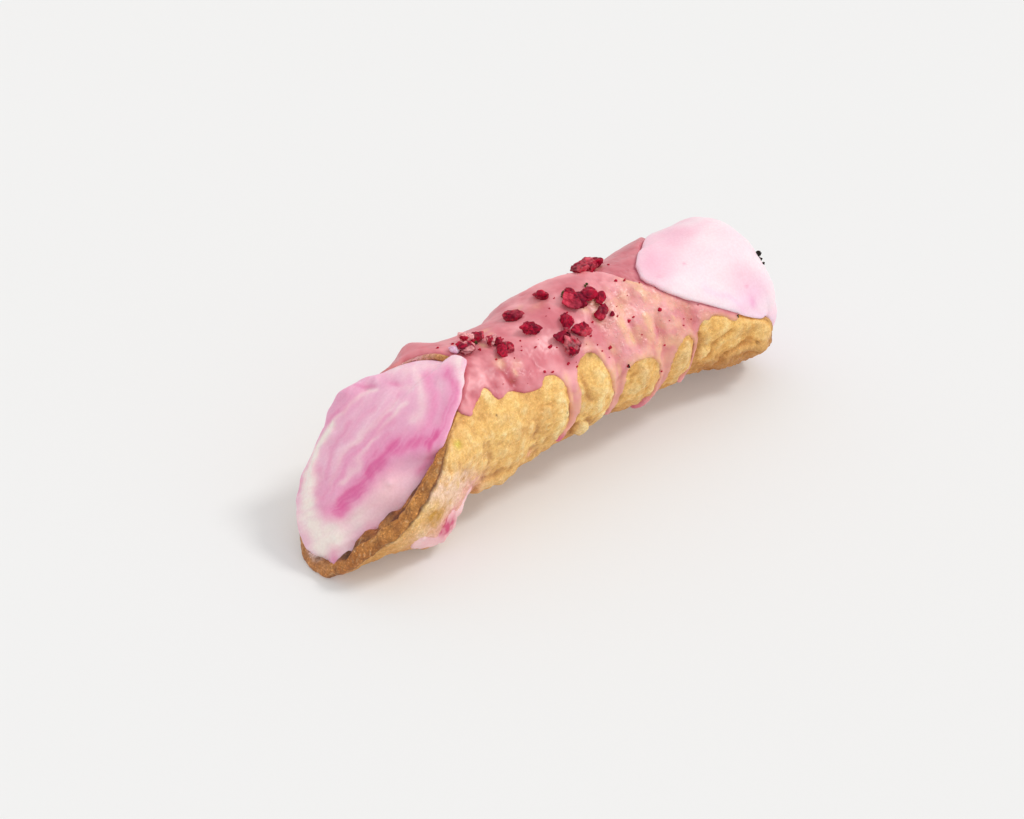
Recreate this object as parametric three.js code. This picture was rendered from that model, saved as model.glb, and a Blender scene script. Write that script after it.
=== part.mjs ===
// A filled pastry tube (cannolo): a bubbly fried shell wrapped round on itself,
// open and slanted at both ends, and one log of cream that fills it from end to end.
//
// Millimetres, +Z up.  The tube runs along X: the near mouth, with the long
// spoon-shaped lip, is at -X.  The crown is short and the underside long, as a
// round of dough gives when it is wrapped on a rod.  The shell rests on the two
// lips, so the middle of the tube stays a few millimetres off the surface.
//
// Angles round the tube are in degrees from the crown, positive towards -Y.

import * as THREE from 'three';

// ---------------------------------------------------------------- sizes ----
const AXIS_HEIGHT = 25.6;        // height of the tube's axis
const TUBE_RADIUS = 20.2;        // outer radius of the plain tube
const WALL = 2.8;                // thickness of the dough
const GAP = 0.3;                 // clearance between dough and cream

const NEAR_CROWN_X = -33.0;      // near mouth: where the crown ends
const NEAR_LIP = 49.0;           // how much further the lip below it reaches
const FAR_CROWN_X = 40.0;        // far mouth: where the crown ends
const FAR_LIP = 42.0;            // how much further the lip below it reaches

const FLARE = 5.0;               // how far both lips curl outwards
const EAR_HEIGHT = 9.4;          // the big bubble behind the near lip
const EAR_X = -52.0;
const EAR_ANGLE = 143.0;

const SIT_NEAR = 2.4;            // extra dough under the lips, pressed flat
const SIT_FAR = 2.2;             // where they rest

const NEAR_POLE_X = -66.0;       // where the cream's near face crosses the axis
const NEAR_BULGE = 13.0;
const FAR_POLE_X = 86.4;         // where the cream's far face crosses the axis
const FAR_BULGE = 13.0;
const FAR_SHOULDER_X = 71.2;     // the far cream keeps the tube's width up to here
const FAR_CREAM_RADIUS = 20.1;

const MIDDLE_X = 2.505;          // middle of the whole thing, measured in the
const MIDDLE_Y = -1.604;         // tube's own frame; it becomes the origin

const SIDES = 50;                // facets round the tube
const OUTER_ROWS = 35;           // facets along the outside of the shell
const INNER_ROWS = 20;           // facets along its bore

// Bubbles of the fried dough: [x, angle, reach along x, reach in degrees, height]
const BUBBLES = [
  // the row of cross ridges down the front side
  [-8, 88, 5.2, 44, 1.2], [7, 92, 5.6, 38, 1.9], [24.5, 98, 6.0, 36, 2.3],
  [40, 100, 4.4, 34, 1.9], [57, 116, 6.5, 30, 2.2], [63, 142, 7, 24, 1.6],
  [71, 104, 5.5, 26, 1.3], [-24, 128, 7.5, 26, 1.2], [-26, 72, 8, 24, 0.6],
  [31, 138, 5, 20, 1.0],
  // over the crown
  [4, 20, 7, 24, 0.9], [19, 8, 6, 26, 1.0], [33, 40, 5, 22, 0.9],
  [-6, -38, 8, 26, 0.6], [10, -40, 8, 26, 0.9], [-41, -38, 9, 30, -1.1],
  // down the back side
  [-28, -95, 6, 34, 1.1], [-13, -100, 5, 36, 1.6], [3, -88, 5.5, 40, 1.7],
  [19, -96, 5, 38, 1.5], [35, -90, 5.5, 36, 1.7], [50, -98, 5.5, 32, 1.4],
  [-44, -108, 6, 28, 1.2], [62, -118, 6, 26, 1.2],
  // underneath
  [-20, 172, 7, 26, 1.5], [-2, 180, 6, 28, 1.4], [15, 168, 6, 26, 1.6],
  [33, 180, 6, 28, 1.4], [50, 175, 6, 24, 1.2],
];

// -------------------------------------------------------------- helpers ----
const rad = THREE.MathUtils.degToRad;
const wrap = (a) => ((((a + 180) % 360) + 360) % 360) - 180;
const turn = (a) => ((a % 360) + 360) % 360;
const bell = (d, w) => Math.exp(-((d / w) ** 2));
const bellAngle = (a, centre, w) => bell(wrap(a - centre), w);
const step = (from, to, t) => THREE.MathUtils.smoothstep(t, from, to);
const clamp = THREE.MathUtils.clamp;

// ---------------------------------------------------------- the mouths -----
// x of the near rim at each angle: a slanted cut, its lip turned a little to
// the front, with a nick at the seam and a longer dip down the back.
function nearRim(a) {
  const t = a + 14 * Math.sin(rad(a / 2)) ** 2;
  const f = (1 - Math.cos(rad(t))) / 2
    + 0.13 * bellAngle(a, -55, 32)
    - 0.07 * bellAngle(a, 25, 22)
    - 0.13 * bellAngle(a, -102, 34);
  return NEAR_CROWN_X - NEAR_LIP * f;
}

// x of the far rim: the same cut with a blunter lip and a raised front corner.
function farRim(a) {
  const f = (1 - Math.cos(rad(a))) / 2
    + 0.19 * bellAngle(a, 107, 31)
    + 0.05 * bellAngle(a, 102, 10)
    + 0.31 * bellAngle(a, -48, 42)
    + 0.17 * bellAngle(a, -112, 32)
    - 0.085 * bellAngle(a, 38, 20);
  return FAR_CROWN_X + FAR_LIP * f;
}

// x of a station between the rims, s = 0 to 1.  The slant of each mouth dies
// away quickly, so that the rings in between stand square to the axis.
function stationX(a, s) {
  const nearMiddle = NEAR_CROWN_X - NEAR_LIP / 2;
  const farMiddle = FAR_CROWN_X + FAR_LIP / 2;
  return THREE.MathUtils.lerp(nearMiddle, farMiddle, s)
    + (nearRim(a) - nearMiddle) * (1 - s) ** 3
    + (farRim(a) - farMiddle) * s ** 3;
}

// ------------------------------------------------------ the dough's form ---
// Radius of the tube without its bubbles: slow waves along it, the curl of
// both lips, and the ear.
function form(x, a) {
  const t = turn(a);
  let r = TUBE_RADIUS
    - 1.7 * bell(x + 18, 11) * bellAngle(a, -42, 60)
    - 1.2 * bell(x - 38, 10) * bellAngle(a, -42, 55)
    - 0.9 * bell(x - 16, 4.5) * bellAngle(a, 138, 45);
  r += FLARE * step(45, 112, t) * (1 - step(185, 236, t))
    * (1 - step(4, 26, x - nearRim(a)));
  r += EAR_HEIGHT * bell(x - EAR_X, x > EAR_X ? 10.5 : 12.0)
    * bellAngle(a, EAR_ANGLE, 29);
  r += FLARE * step(60, 135, t) * (1 - step(205, 285, t))
    * (1 - step(2, 26, farRim(a) - x));
  return r;
}

function outerRadius(x, a) {
  let r = form(x, a)
    + SIT_FAR * bell(x - 74, 11) * bellAngle(a, 180, 26)
    + SIT_NEAR * bell(x + 72, 13) * bellAngle(a, 178, 26);
  for (const [bx, ba, wx, wa, h] of BUBBLES) r += h * bell(x - bx, wx) * bellAngle(a, ba, wa);
  return r;
}

const boreRadius = (x, a) => form(x, a) - WALL;

// A point at a station, an angle and a radius.  Where the lips touch the
// surface they are pressed flat.
function place(x, a, r) {
  const z = AXIS_HEIGHT + r * Math.cos(rad(a));
  return [x - MIDDLE_X, -r * Math.sin(rad(a)) - MIDDLE_Y, Math.max(z, 0)];
}

const angles = Array.from({ length: SIDES }, (_, j) => -180 + (360 * j) / SIDES);

// ------------------------------------------------------------- lofting -----
// Rings of points joined by quads.  `ring` closes the last row on the first;
// otherwise `poles` close both ends with a fan.  `backward` splits the quads
// along their other diagonal.
function loft(rows, { ring = false, poles = null, backward = false }) {
  const n = rows[0].length;
  const position = rows.flat(2);
  const index = [];
  const last = ring ? rows.length : rows.length - 1;
  for (let i = 0; i < last; i++) {
    const k = (i + 1) % rows.length;
    for (let j = 0; j < n; j++) {
      const m = (j + 1) % n;
      const a = i * n + j, b = i * n + m, c = k * n + m, d = k * n + j;
      if (backward) index.push(a, b, d, b, c, d);
      else index.push(a, b, c, a, c, d);
    }
  }
  if (poles) {
    const p = rows.length * n;
    position.push(...poles[0], ...poles[1]);
    const end = (rows.length - 1) * n;
    for (let j = 0; j < n; j++) {
      const m = (j + 1) % n;
      index.push(p, m, j, p + 1, end + j, end + m);
    }
  }
  const g = new THREE.BufferGeometry();
  g.setAttribute('position', new THREE.Float32BufferAttribute(position, 3));
  g.setIndex(index);
  g.computeVertexNormals();
  return g;
}

// --------------------------------------------------------------- shell -----
function shellGeometry() {
  const rows = [];
  for (let i = 0; i <= OUTER_ROWS; i++) {
    const s = i / OUTER_ROWS;
    rows.push(angles.map((a) => {
      const x = stationX(a, s);
      return place(x, a, outerRadius(x, a));
    }));
  }
  for (let i = INNER_ROWS; i >= 0; i--) {
    const s = i / INNER_ROWS;
    rows.push(angles.map((a) => {
      const x = stationX(a, s);
      return place(x, a, boreRadius(x, a));
    }));
  }
  return loft(rows, { ring: true });
}

// --------------------------------------------------------------- cream -----
// How far inside the near rim the cream stops on the lip, and how far it
// stands out past the rim elsewhere.
function nearCreamX(a) {
  const t = turn(a);
  const inside = 6.6 * step(70, 140, t) * (1 - step(178, 210, t));
  const onLip = step(96, 126, t) * (1 - step(202, 226, t));
  const proud = (1.4 + 3.9 * step(205, 240, t) * (1 - step(262, 335, t))) * (1 - onLip);
  return nearRim(a) + inside - proud;
}

const farCreamX = (a) => THREE.MathUtils.lerp(FAR_SHOULDER_X, 77.5, step(35, 135, Math.abs(wrap(a))));

// Splits a rim into its mean, its tilt and the rest, so that a face drawn
// across it stays smooth at the middle.
function splitRim(values) {
  const n = values.length;
  let mean = 0, c = 0, s = 0;
  values.forEach((v, j) => {
    mean += v / n;
    c += (2 * v * Math.cos(rad(angles[j]))) / n;
    s += (2 * v * Math.sin(rad(angles[j]))) / n;
  });
  return values.map((v, j) => {
    const tilt = c * Math.cos(rad(angles[j])) + s * Math.sin(rad(angles[j]));
    return { mean, tilt, rest: v - mean - tilt };
  });
}

// Rows of a bulging face from next to the axis (first) out to its edge (last).
function face(edgeX, edgeR, poleX, bulge, power, rowsWanted) {
  const parts = splitRim(edgeX);
  const meanR = edgeR.reduce((t, v) => t + v, 0) / edgeR.length;
  const middleX = poleX + bulge;
  const rows = [];
  for (let i = 1; i <= rowsWanted; i++) {
    const q = Math.sin((i / rowsWanted) * (Math.PI / 2)) ** 0.9;
    rows.push(angles.map((a, j) => {
      const { mean, tilt, rest } = parts[j];
      const x = middleX + (mean - middleX) * q * q + tilt * q + rest * q ** 3
        - bulge * Math.max(0, 1 - q * q) ** power;
      const r = q * (meanR + (edgeR[j] - meanR) * q ** 3);
      return place(x, a, r);
    }));
  }
  return rows;
}

function creamGeometry() {
  const near = angles.map(nearCreamX);
  const far = angles.map(farCreamX);
  const nearEdge = angles.map(nearRim);
  const farEdge = angles.map(farRim);
  // clear of the shell's bore, facet by facet
  const station = (j, i) => stationX(angles[j], i / INNER_ROWS);
  const bore = (x, j) => {
    let i = 0;
    while (i < INNER_ROWS - 1 && station(j, i + 1) < x) i++;
    const [x0, x1] = [station(j, i), station(j, i + 1)];
    return THREE.MathUtils.lerp(
      boreRadius(x0, angles[j]), boreRadius(x1, angles[j]), clamp((x - x0) / (x1 - x0), 0, 1),
    ) - GAP;
  };

  // how far the cream stands clear of a rim, the neighbouring facets included
  const clearOf = (gap) => gap.map((v, j) => Math.min(
    v, gap[(j + 1) % SIDES], gap[(j + SIDES - 1) % SIDES],
  ));

  // outside the near rim the cream spreads to the width of the shell
  const nearClear = clearOf(near.map((x, j) => nearEdge[j] - x));
  const nearR = angles.map((a, j) => {
    const inside = bore(nearEdge[j], j) - 0.25;
    const wide = Math.min(outerRadius(nearEdge[j], a), 21) - 0.3;
    return inside + (wide - inside) * step(0.4, 3, nearClear[j]);
  });
  const rows = face(near.map((x) => x - 0.2), nearR, NEAR_POLE_X, NEAR_BULGE, 0.6, 7);

  const nearIn = near.map((x, j) => Math.max(x, nearEdge[j] - 0.7));
  rows.push(angles.map((a, j) => place(nearIn[j], a, nearR[j])));
  rows.push(angles.map((a, j) => place(nearIn[j] + 0.1, a, bore(nearIn[j], j) - 0.3)));

  // along the bore, ring for ring with the shell's own facets
  const first = 1, lastRow = INNER_ROWS - 1;
  rows.push(angles.map((a, j) => {
    const x = (nearIn[j] + station(j, first)) / 2;
    return place(x, a, bore(x, j) - 0.25);
  }));
  for (let i = first; i <= lastRow; i++) {
    rows.push(angles.map((a, j) => place(station(j, i), a, bore(station(j, i), j))));
  }
  const farIn = far.map((x, j) => Math.min(x, farEdge[j] + 0.9));
  for (let i = 1; i <= 2; i++) {
    rows.push(angles.map((a, j) => {
      const x = THREE.MathUtils.lerp(station(j, lastRow), farIn[j], i / 2);
      return place(x, a, bore(x, j) - 0.25);
    }));
  }
  // past the far rim it stands as wide as the shell, then rounds off
  const shoulder = clearOf(far.map((x, j) => x - farEdge[j])).map((v) => step(0.9, 3.5, v));
  const farR = angles.map((a, j) => {
    const inside = bore(farEdge[j], j) - 0.25;
    return inside + (FAR_CREAM_RADIUS - inside) * shoulder[j];
  });
  const collar = angles.map((a, j) => {
    const inside = bore(farEdge[j], j) - 0.25;
    return inside + (Math.min(outerRadius(farEdge[j], a), FAR_CREAM_RADIUS) - 0.2 - inside) * shoulder[j];
  });
  rows.push(angles.map((a, j) => place(farIn[j] + 0.1, a, collar[j])));
  for (let i = 1; i <= 2; i++) {
    rows.push(angles.map((a, j) => place(
      THREE.MathUtils.lerp(farIn[j] + 0.1, far[j] + 0.4, i / 3), a,
      THREE.MathUtils.lerp(collar[j], farR[j], i / 3))));
  }
  const end = face(far.map((x) => -x - 0.4), farR, -FAR_POLE_X, FAR_BULGE, 0.5, 7)
    .map((row) => row.map(([x, y, z]) => [-(x + MIDDLE_X) - MIDDLE_X, y, z]));
  rows.push(...end.reverse());
  return loft(rows, {
    poles: [place(NEAR_POLE_X, 0, 0), place(FAR_POLE_X, 0, 0)],
    backward: true,
  });
}

// ------------------------------------------------------------ assembly -----
const cannolo = new THREE.Group();

const shell = new THREE.Mesh(
  shellGeometry(),
  new THREE.MeshStandardMaterial({ color: 0xdca85f, roughness: 0.75, metalness: 0 }),
);
shell.name = 'shell';

const cream = new THREE.Mesh(
  creamGeometry(),
  new THREE.MeshStandardMaterial({ color: 0xf3c6d8, roughness: 0.45, metalness: 0 }),
);
cream.name = 'cream';

cannolo.add(shell, cream);

export default cannolo;
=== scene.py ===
"""Looks of a filled cannolo: a bubbly fried tube, marbled pink cream from end to
end, pink glaze running down its front side, and dry fruit crumbs on top.

Lengths are worked out in millimetres in the tube's own frame (x along the axis,
angles in degrees round it from the crown, positive to the front) and turned
into metres in the row's frame by place().
"""

import math

import bmesh
import bpy
import numpy as np
from mathutils import Euler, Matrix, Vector


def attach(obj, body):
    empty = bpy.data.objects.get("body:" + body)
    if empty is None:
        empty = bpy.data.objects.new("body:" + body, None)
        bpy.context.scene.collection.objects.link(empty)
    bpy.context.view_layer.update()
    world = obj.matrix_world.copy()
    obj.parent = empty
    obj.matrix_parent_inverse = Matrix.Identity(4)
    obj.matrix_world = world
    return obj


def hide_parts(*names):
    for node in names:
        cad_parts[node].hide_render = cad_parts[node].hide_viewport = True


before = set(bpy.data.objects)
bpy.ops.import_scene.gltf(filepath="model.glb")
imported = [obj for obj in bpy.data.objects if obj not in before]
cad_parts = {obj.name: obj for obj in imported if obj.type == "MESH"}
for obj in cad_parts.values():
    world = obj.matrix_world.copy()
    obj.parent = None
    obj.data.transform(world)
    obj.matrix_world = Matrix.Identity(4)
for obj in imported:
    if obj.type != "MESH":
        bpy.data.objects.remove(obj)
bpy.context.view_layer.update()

# ------------------------------------------------------------------ sizes ---
AXIS = 25.6
TUBE = 20.2
WALL = 2.8
MIDDLE_X, MIDDLE_Y = 2.505, -1.604

NEAR_CROWN_X, NEAR_LIP = -33.0, 49.0
FAR_CROWN_X, FAR_LIP = 40.0, 42.0
FLARE = 5.0
EAR_HEIGHT, EAR_X, EAR_ANGLE = 9.4, -52.0, 143.0
SIT_NEAR, SIT_FAR = 2.4, 2.2

BUBBLES = [
    (-8, 88, 5.2, 44, 1.2), (7, 92, 5.6, 38, 1.9), (24.5, 98, 6.0, 36, 2.3),
    (40, 100, 4.4, 34, 1.9), (57, 116, 6.5, 30, 2.2), (63, 142, 7, 24, 1.6),
    (71, 104, 5.5, 26, 1.3), (-24, 128, 7.5, 26, 1.2), (-26, 72, 8, 24, 0.6),
    (31, 138, 5, 20, 1.0),
    (4, 20, 7, 24, 0.9), (19, 8, 6, 26, 1.0), (33, 40, 5, 22, 0.9),
    (-6, -38, 8, 26, 0.6), (10, -40, 8, 26, 0.9), (-41, -38, 9, 30, -1.1),
    (-28, -95, 6, 34, 1.1), (-13, -100, 5, 36, 1.6), (3, -88, 5.5, 40, 1.7),
    (19, -96, 5, 38, 1.5), (35, -90, 5.5, 36, 1.7), (50, -98, 5.5, 32, 1.4),
    (-44, -108, 6, 28, 1.2), (62, -118, 6, 26, 1.2),
    (-20, 172, 7, 26, 1.5), (-2, 180, 6, 28, 1.4), (15, 168, 6, 26, 1.6),
    (33, 180, 6, 28, 1.4), (50, 175, 6, 24, 1.2),
]


# ---------------------------------------------------------------- helpers ---
def rad(a):
    return np.radians(a)


def wrap(a):
    return (np.asarray(a, float) + 180.0) % 360.0 - 180.0


def turn(a):
    return np.mod(a, 360.0)


def bell(d, w):
    return np.exp(-((d / w) ** 2))


def bell_a(a, centre, w):
    return bell(wrap(a - centre), w)


def step(lo, hi, t):
    t = np.clip((np.asarray(t, float) - lo) / (hi - lo), 0.0, 1.0)
    return t * t * (3.0 - 2.0 * t)


def lerp(a, b, t):
    return a + (b - a) * t


class Noise:
    """Smooth gradient noise in space, about -1 to 1, the same on every run."""

    def __init__(self, seed):
        rng = np.random.default_rng(seed)
        p = rng.permutation(256)
        self.p = np.concatenate([p, p])
        g = rng.normal(size=(256, 3))
        self.g = g / np.linalg.norm(g, axis=1)[:, None]

    def __call__(self, pts, size):
        q = np.asarray(pts, float) / size + 97.3
        i = np.floor(q).astype(int)
        f = q - i
        u = f * f * f * (f * (f * 6 - 15) + 10)
        total = 0.0
        for dx in (0, 1):
            for dy in (0, 1):
                for dz in (0, 1):
                    h = self.p[(self.p[(self.p[(i[..., 0] + dx) & 255] + i[..., 1] + dy) & 255] + i[..., 2] + dz) & 255]
                    g = self.g[h]
                    d = f - np.array([dx, dy, dz])
                    w = ((u[..., 0] if dx else 1 - u[..., 0])
                         * (u[..., 1] if dy else 1 - u[..., 1])
                         * (u[..., 2] if dz else 1 - u[..., 2]))
                    total = total + w * (g * d).sum(-1)
        return total * 1.6

    def fbm(self, pts, size, octaves=3, gain=0.5):
        total, amp = 0.0, 1.0
        for k in range(octaves):
            total = total + amp * self(np.asarray(pts) + 31.7 * k, size / 2 ** k)
            amp *= gain
        return total


N1, N2, N3, N4 = Noise(11), Noise(23), Noise(37), Noise(51)


def srgb(*c):
    """0-255 screen colour to the linear one that shaders take."""
    c = np.asarray(c, float) / 255.0
    return np.where(c <= 0.04045, c / 12.92, ((c + 0.055) / 1.055) ** 2.4)


def mix(a, b, t):
    t = np.asarray(t, float)[..., None]
    return a * (1 - t) + b * t


def place(x, a, r):
    """A point at a station, an angle and a radius, in the tube's frame, mm."""
    z = AXIS + r * np.cos(rad(a))
    return np.stack([x + 0 * r, -r * np.sin(rad(a)), np.maximum(z, 0.0)], -1)


def to_row(p):
    """From the tube's frame in mm to the row's frame in metres."""
    return (np.asarray(p, float) - np.array([MIDDLE_X, MIDDLE_Y, 0.0])) * 0.001


# ------------------------------------------------------------ dough's form --
def near_rim(a):
    t = a + 14 * np.sin(rad(a / 2)) ** 2
    f = ((1 - np.cos(rad(t))) / 2 + 0.13 * bell_a(a, -55, 32)
         - 0.07 * bell_a(a, 25, 22) - 0.13 * bell_a(a, -102, 34))
    return NEAR_CROWN_X - NEAR_LIP * f


def far_rim(a):
    f = ((1 - np.cos(rad(a))) / 2 + 0.19 * bell_a(a, 107, 31)
         + 0.05 * bell_a(a, 102, 10) + 0.31 * bell_a(a, -48, 42)
         + 0.17 * bell_a(a, -112, 32) - 0.085 * bell_a(a, 38, 20))
    return FAR_CROWN_X + FAR_LIP * f


def form(x, a):
    t = turn(a)
    r = (TUBE - 1.7 * bell(x + 18, 11) * bell_a(a, -42, 60)
         - 1.2 * bell(x - 38, 10) * bell_a(a, -42, 55)
         - 0.9 * bell(x - 16, 4.5) * bell_a(a, 138, 45))
    r = r + FLARE * step(45, 112, t) * (1 - step(185, 236, t)) * (1 - step(4, 26, x - near_rim(a)))
    r = r - 1.6 * bell_a(a, 127, 22) * (1 - step(3, 14, x - near_rim(a)))
    r = r + EAR_HEIGHT * bell(x - EAR_X, np.where(x > EAR_X, 10.5, 12.0)) * bell_a(a, EAR_ANGLE, 29)
    r = r + FLARE * step(60, 135, t) * (1 - step(205, 285, t)) * (1 - step(2, 26, far_rim(a) - x))
    return r


def smooth_outer(x, a):
    r = (form(x, a) + SIT_FAR * bell(x - 74, 11) * bell_a(a, 180, 26)
         + SIT_NEAR * bell(x + 72, 13) * bell_a(a, 178, 26))
    for bx, ba, wx, wa, h in BUBBLES:
        r = r + h * bell(x - bx, wx) * bell_a(a, ba, wa)
    return r


# Valleys between the bubbles on the front side: station, angle, half-widths, depth
VALLEYS = [
    (-3.4, 98, 2.2, 34, 0.9), (15.0, 98, 2.6, 32, 1.1), (33.2, 102, 2.3, 32, 1.0), (45.8, 100, 2.0, 28, 1.0),
    (-16.5, 100, 3.0, 26, 0.5), (51.5, 88, 1.6, 14, 0.5), (-33.5, 92, 3.5, 26, 0.35),
]
# Single dips and humps in the glazed part: station, angle, half-widths, height
DENTS = [
    (-20.4, 49.5, 1.7, 7, -0.95), (-23.4, 45, 1.6, 9, 0.7), (-16.0, 52, 2.6, 10, 0.6), (-26.6, 46, 1.6, 8, -0.5),
    (-30.5, 50, 1.8, 9, 0.6), (-21.6, 36, 2.2, 5, -0.5), (-18.4, 33, 1.8, 6, 0.35), (-15.0, 36, 2.4, 8, 0.4), (-10.5, 44, 2.0, 8, -0.5),
    (5.2, 50, 3.0, 9, -0.5), (14.4, 40, 2.4, 9, -0.6), (19.6, 56, 1.3, 15, 0.8), (23.6, 60, 1.4, 14, -0.8),
    (28.6, 56, 1.5, 13, 0.8), (32.6, 62, 1.6, 12, -0.7), (38.0, 60, 2.4, 12, 0.6), (44.5, 66, 2.0, 12, -0.6),
    (21.4, 34, 1.5, 8, 0.5), (25.0, 28, 1.4, 9, -0.5), (31.0, 34, 1.6, 9, 0.6), (35.6, 32, 1.6, 9, -0.5),
    (12.2, 24, 1.6, 7, 0.5), (9.6, 62, 1.8, 8, 0.6), (50.6, 74, 2.2, 9, 0.5), (56, 78, 2.4, 8, 0.5),
    (57.0, 105, 4.4, 11, -1.5), (65.5, 108, 3.4, 8, -0.9), (52.4, 114, 2.6, 8, 0.8), (60.5, 119, 3.2, 7, 1.1),
    (70.0, 114, 3.0, 7, 0.8), (61.0, 94, 6.0, 6, 0.6), (-36.5, 50, 1.6, 9, 0.4), (-4.5, 24, 3.0, 10, 0.4), (2.5, 40, 2.6, 9, 0.35), (24.5, 6, 2.4, 8, -0.5),
]

# The free edge of the outer turn of dough, where it laps over the inner one.
LAP_X = np.array([-60, 5, 14, 18.7, 22.2, 25.3, 28.2, 29.9, 32.1, 36, 40, 60.0])
LAP_A = np.array([-30, -30, -26, -20, -13, -6, 3, 14, 24, 32, 38, 44.0])


def lap(x, a):
    """Distance in mm to the front of the lapped edge, and how strong it is."""
    d = (wrap(a - np.interp(x, LAP_X, LAP_A))) * 0.36 * 0.8
    strong = step(2, 16, x) * (1 - step(33, 41, x))
    return d, strong


def lap_crest(x, a):
    d, strong = lap(x, a)
    return 1.5 * step(-2.2, 0.7, d) * np.exp(-np.clip(d, 0, None) / 8.0) * strong


def skin(x, a):
    """The outside as it is seen, glaze and all, before the fine relief."""
    w = wrap(a)
    r = smooth_outer(x, a)
    r = r - 2.1 * bell(x + 6, 7.5) * bell_a(a, -42, 44)
    r = r - 1.1 * bell(x + 47, 7.0) * bell_a(a, -54, 26)
    for bx, ba, wx, wa, h in VALLEYS:
        r = r - h * bell(x - bx, wx) * bell_a(a, ba, wa)
    for bx, ba, wx, wa, h in DENTS:
        r = r + h * bell(x - bx, wx) * bell_a(a, ba, wa)
    return r + lap_crest(x, a)


def sunk(x, a):
    """How much lower the dough lies where the glaze covers it whole."""
    w = wrap(a)
    return 0.95 * step(-120, -96, w) * (1 - step(56, 84, w))


# Blisters of the fried dough, packed so that they meet in creases:
# station, angle, radius, height, stretch round the tube.
def _packed():
    rng = np.random.default_rng(5)
    rows = []
    # a close, crumpled pack on the far lip
    tries = 0
    while tries < 900:
        tries += 1
        x, a = rng.uniform(46, 82), rng.uniform(62, 190)
        rows.append((x, a, rng.uniform(1.4, 3.6), rng.uniform(0.14, 0.46) * (0.3 if a < 118 else 1), rng.uniform(0.8, 1.8)))
        if len(rows) > 150:
            break
    # the middle: tall oval blisters, drawn out round the tube
    for _ in range(150):
        x, a = rng.uniform(-10, 50), rng.uniform(70, 200)
        rows.append((x, a, rng.uniform(1.1, 2.4), rng.uniform(0.15, 0.5), rng.uniform(1.0, 2.2)))
    # the near part: small and flat
    for _ in range(240):
        x, a = rng.uniform(-84, -8), rng.uniform(40, 215)
        rows.append((x, a, rng.uniform(0.8, 2.0), rng.uniform(0.10, 0.44), rng.uniform(0.9, 2.0)))
    # the back and the top
    for _ in range(330):
        x, a = rng.uniform(-84, 84), rng.uniform(-175, 60)
        rows.append((x, a, rng.uniform(1.0, 2.6), rng.uniform(0.12, 0.5), rng.uniform(0.9, 1.7)))
    return rows


BLISTERS = _packed() + [
    (-13, 84, 2.2, 0.5, 1.1), (-8.5, 76, 1.8, 0.45, 1.0), (-14, 108, 1.6, 0.4, 1.2),
    (-18.5, 92, 2.0, 0.35, 1.4), (-25, 84, 2.4, 0.35, 1.2), (-31, 96, 2.0, 0.3, 1.0),
    (-21, 74, 1.5, 0.35, 1.0), (-4, 108, 1.7, 0.4, 1.0), (-34, 70, 2.2, 0.3, 1.5),
    (8.2, 112, 1.8, 0.5, 1.0), (20, 104, 2.2, 0.5, 1.4),
    (27, 112, 2.0, 0.6, 1.2), (24, 122, 1.7, 0.5, 1.2), (40.5, 92, 2.2, 0.5, 1.6),
    (40, 112, 1.6, 0.4, 1.0), (50.3, 92, 1.8, 0.5, 1.6), (55, 122, 2.2, 0.9, 1.0), (49.5, 112, 1.6, 0.6, 1.4),
    (63, 127, 2.0, 0.6, 1.2), (70, 126, 1.8, 0.5, 1.0), (47, 122, 1.6, 0.5, 1.0), (59, 83, 1.6, 0.25, 1.0),
]
# Burst blisters that left a small ring: station, angle, radius, height
RINGS = [(-12.6, 96, 1.5, 0.45), (-22.5, 112, 1.7, 0.5), (-16.6, 120, 1.5, 0.45), (-6.2, 92, 1.2, 0.4),
         (-29.5, 84, 1.3, 0.3), (22.8, 114, 1.3, 0.35), (63.5, 107, 1.6, 0.4), (-40.5, 92, 1.4, 0.25)]


def blisters(x, a):
    """Height in mm of the blisters."""
    shape = np.broadcast(x, a).shape
    x = np.broadcast_to(x, shape).ravel()
    a = np.broadcast_to(a, shape).ravel()
    out = np.zeros(x.size)
    order = np.argsort(x)
    xs = x[order]
    for bx, ba, r, h, k in BLISTERS:
        lo, hi = np.searchsorted(xs, [bx - r, bx + r])
        idx = order[lo:hi]
        dx = (x[idx] - bx) / r
        da = wrap(a[idx] - ba) * 0.36 / (r * k)
        q = 1 - dx * dx - da * da
        out[idx] = np.maximum(out[idx], h * np.clip(q, 0, None) ** 0.62)
    for bx, ba, r, h in RINGS:
        d = np.hypot(x - bx, wrap(a - ba) * 0.37)
        out = out + h * np.exp(-((d - r * 0.62) / (0.30 * r)) ** 2)
    return out.reshape(shape)


# Creases (-) and ridges (+) of the far lip: points (station, angle), half-width, height
FAR_FOLDS = [
    ([(58.5, 93), (56.3, 95.7), (53.4, 100.8), (52.2, 108.1), (50.6, 112)], 0.85, -1.25),
    ([(66.5, 110), (64.2, 111.2), (62.0, 114.0), (58.5, 115.0), (56.4, 122.8)], 0.8, -1.05),
    ([(49.4, 108.5), (53.0, 104.6), (57.2, 101.6), (60.5, 100.5)], 1.0, 0.7),
    ([(63.0, 114.8), (66.0, 115.6), (69.4, 116.6), (73.0, 116.2)], 0.9, 0.95),
    ([(61.0, 120.0), (65.5, 121.0), (70.5, 121.0), (75.0, 119.5)], 0.9, -0.7),
    ([(69.0, 111.8), (69.8, 112.6)], 0.7, -0.7),
    ([(58.5, 107.5), (61.6, 106.5), (64.6, 107.4)], 1.2, 0.45),
    ([(66.8, 99.5), (67.6, 99.6)], 0.35, -0.25),
]


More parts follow.
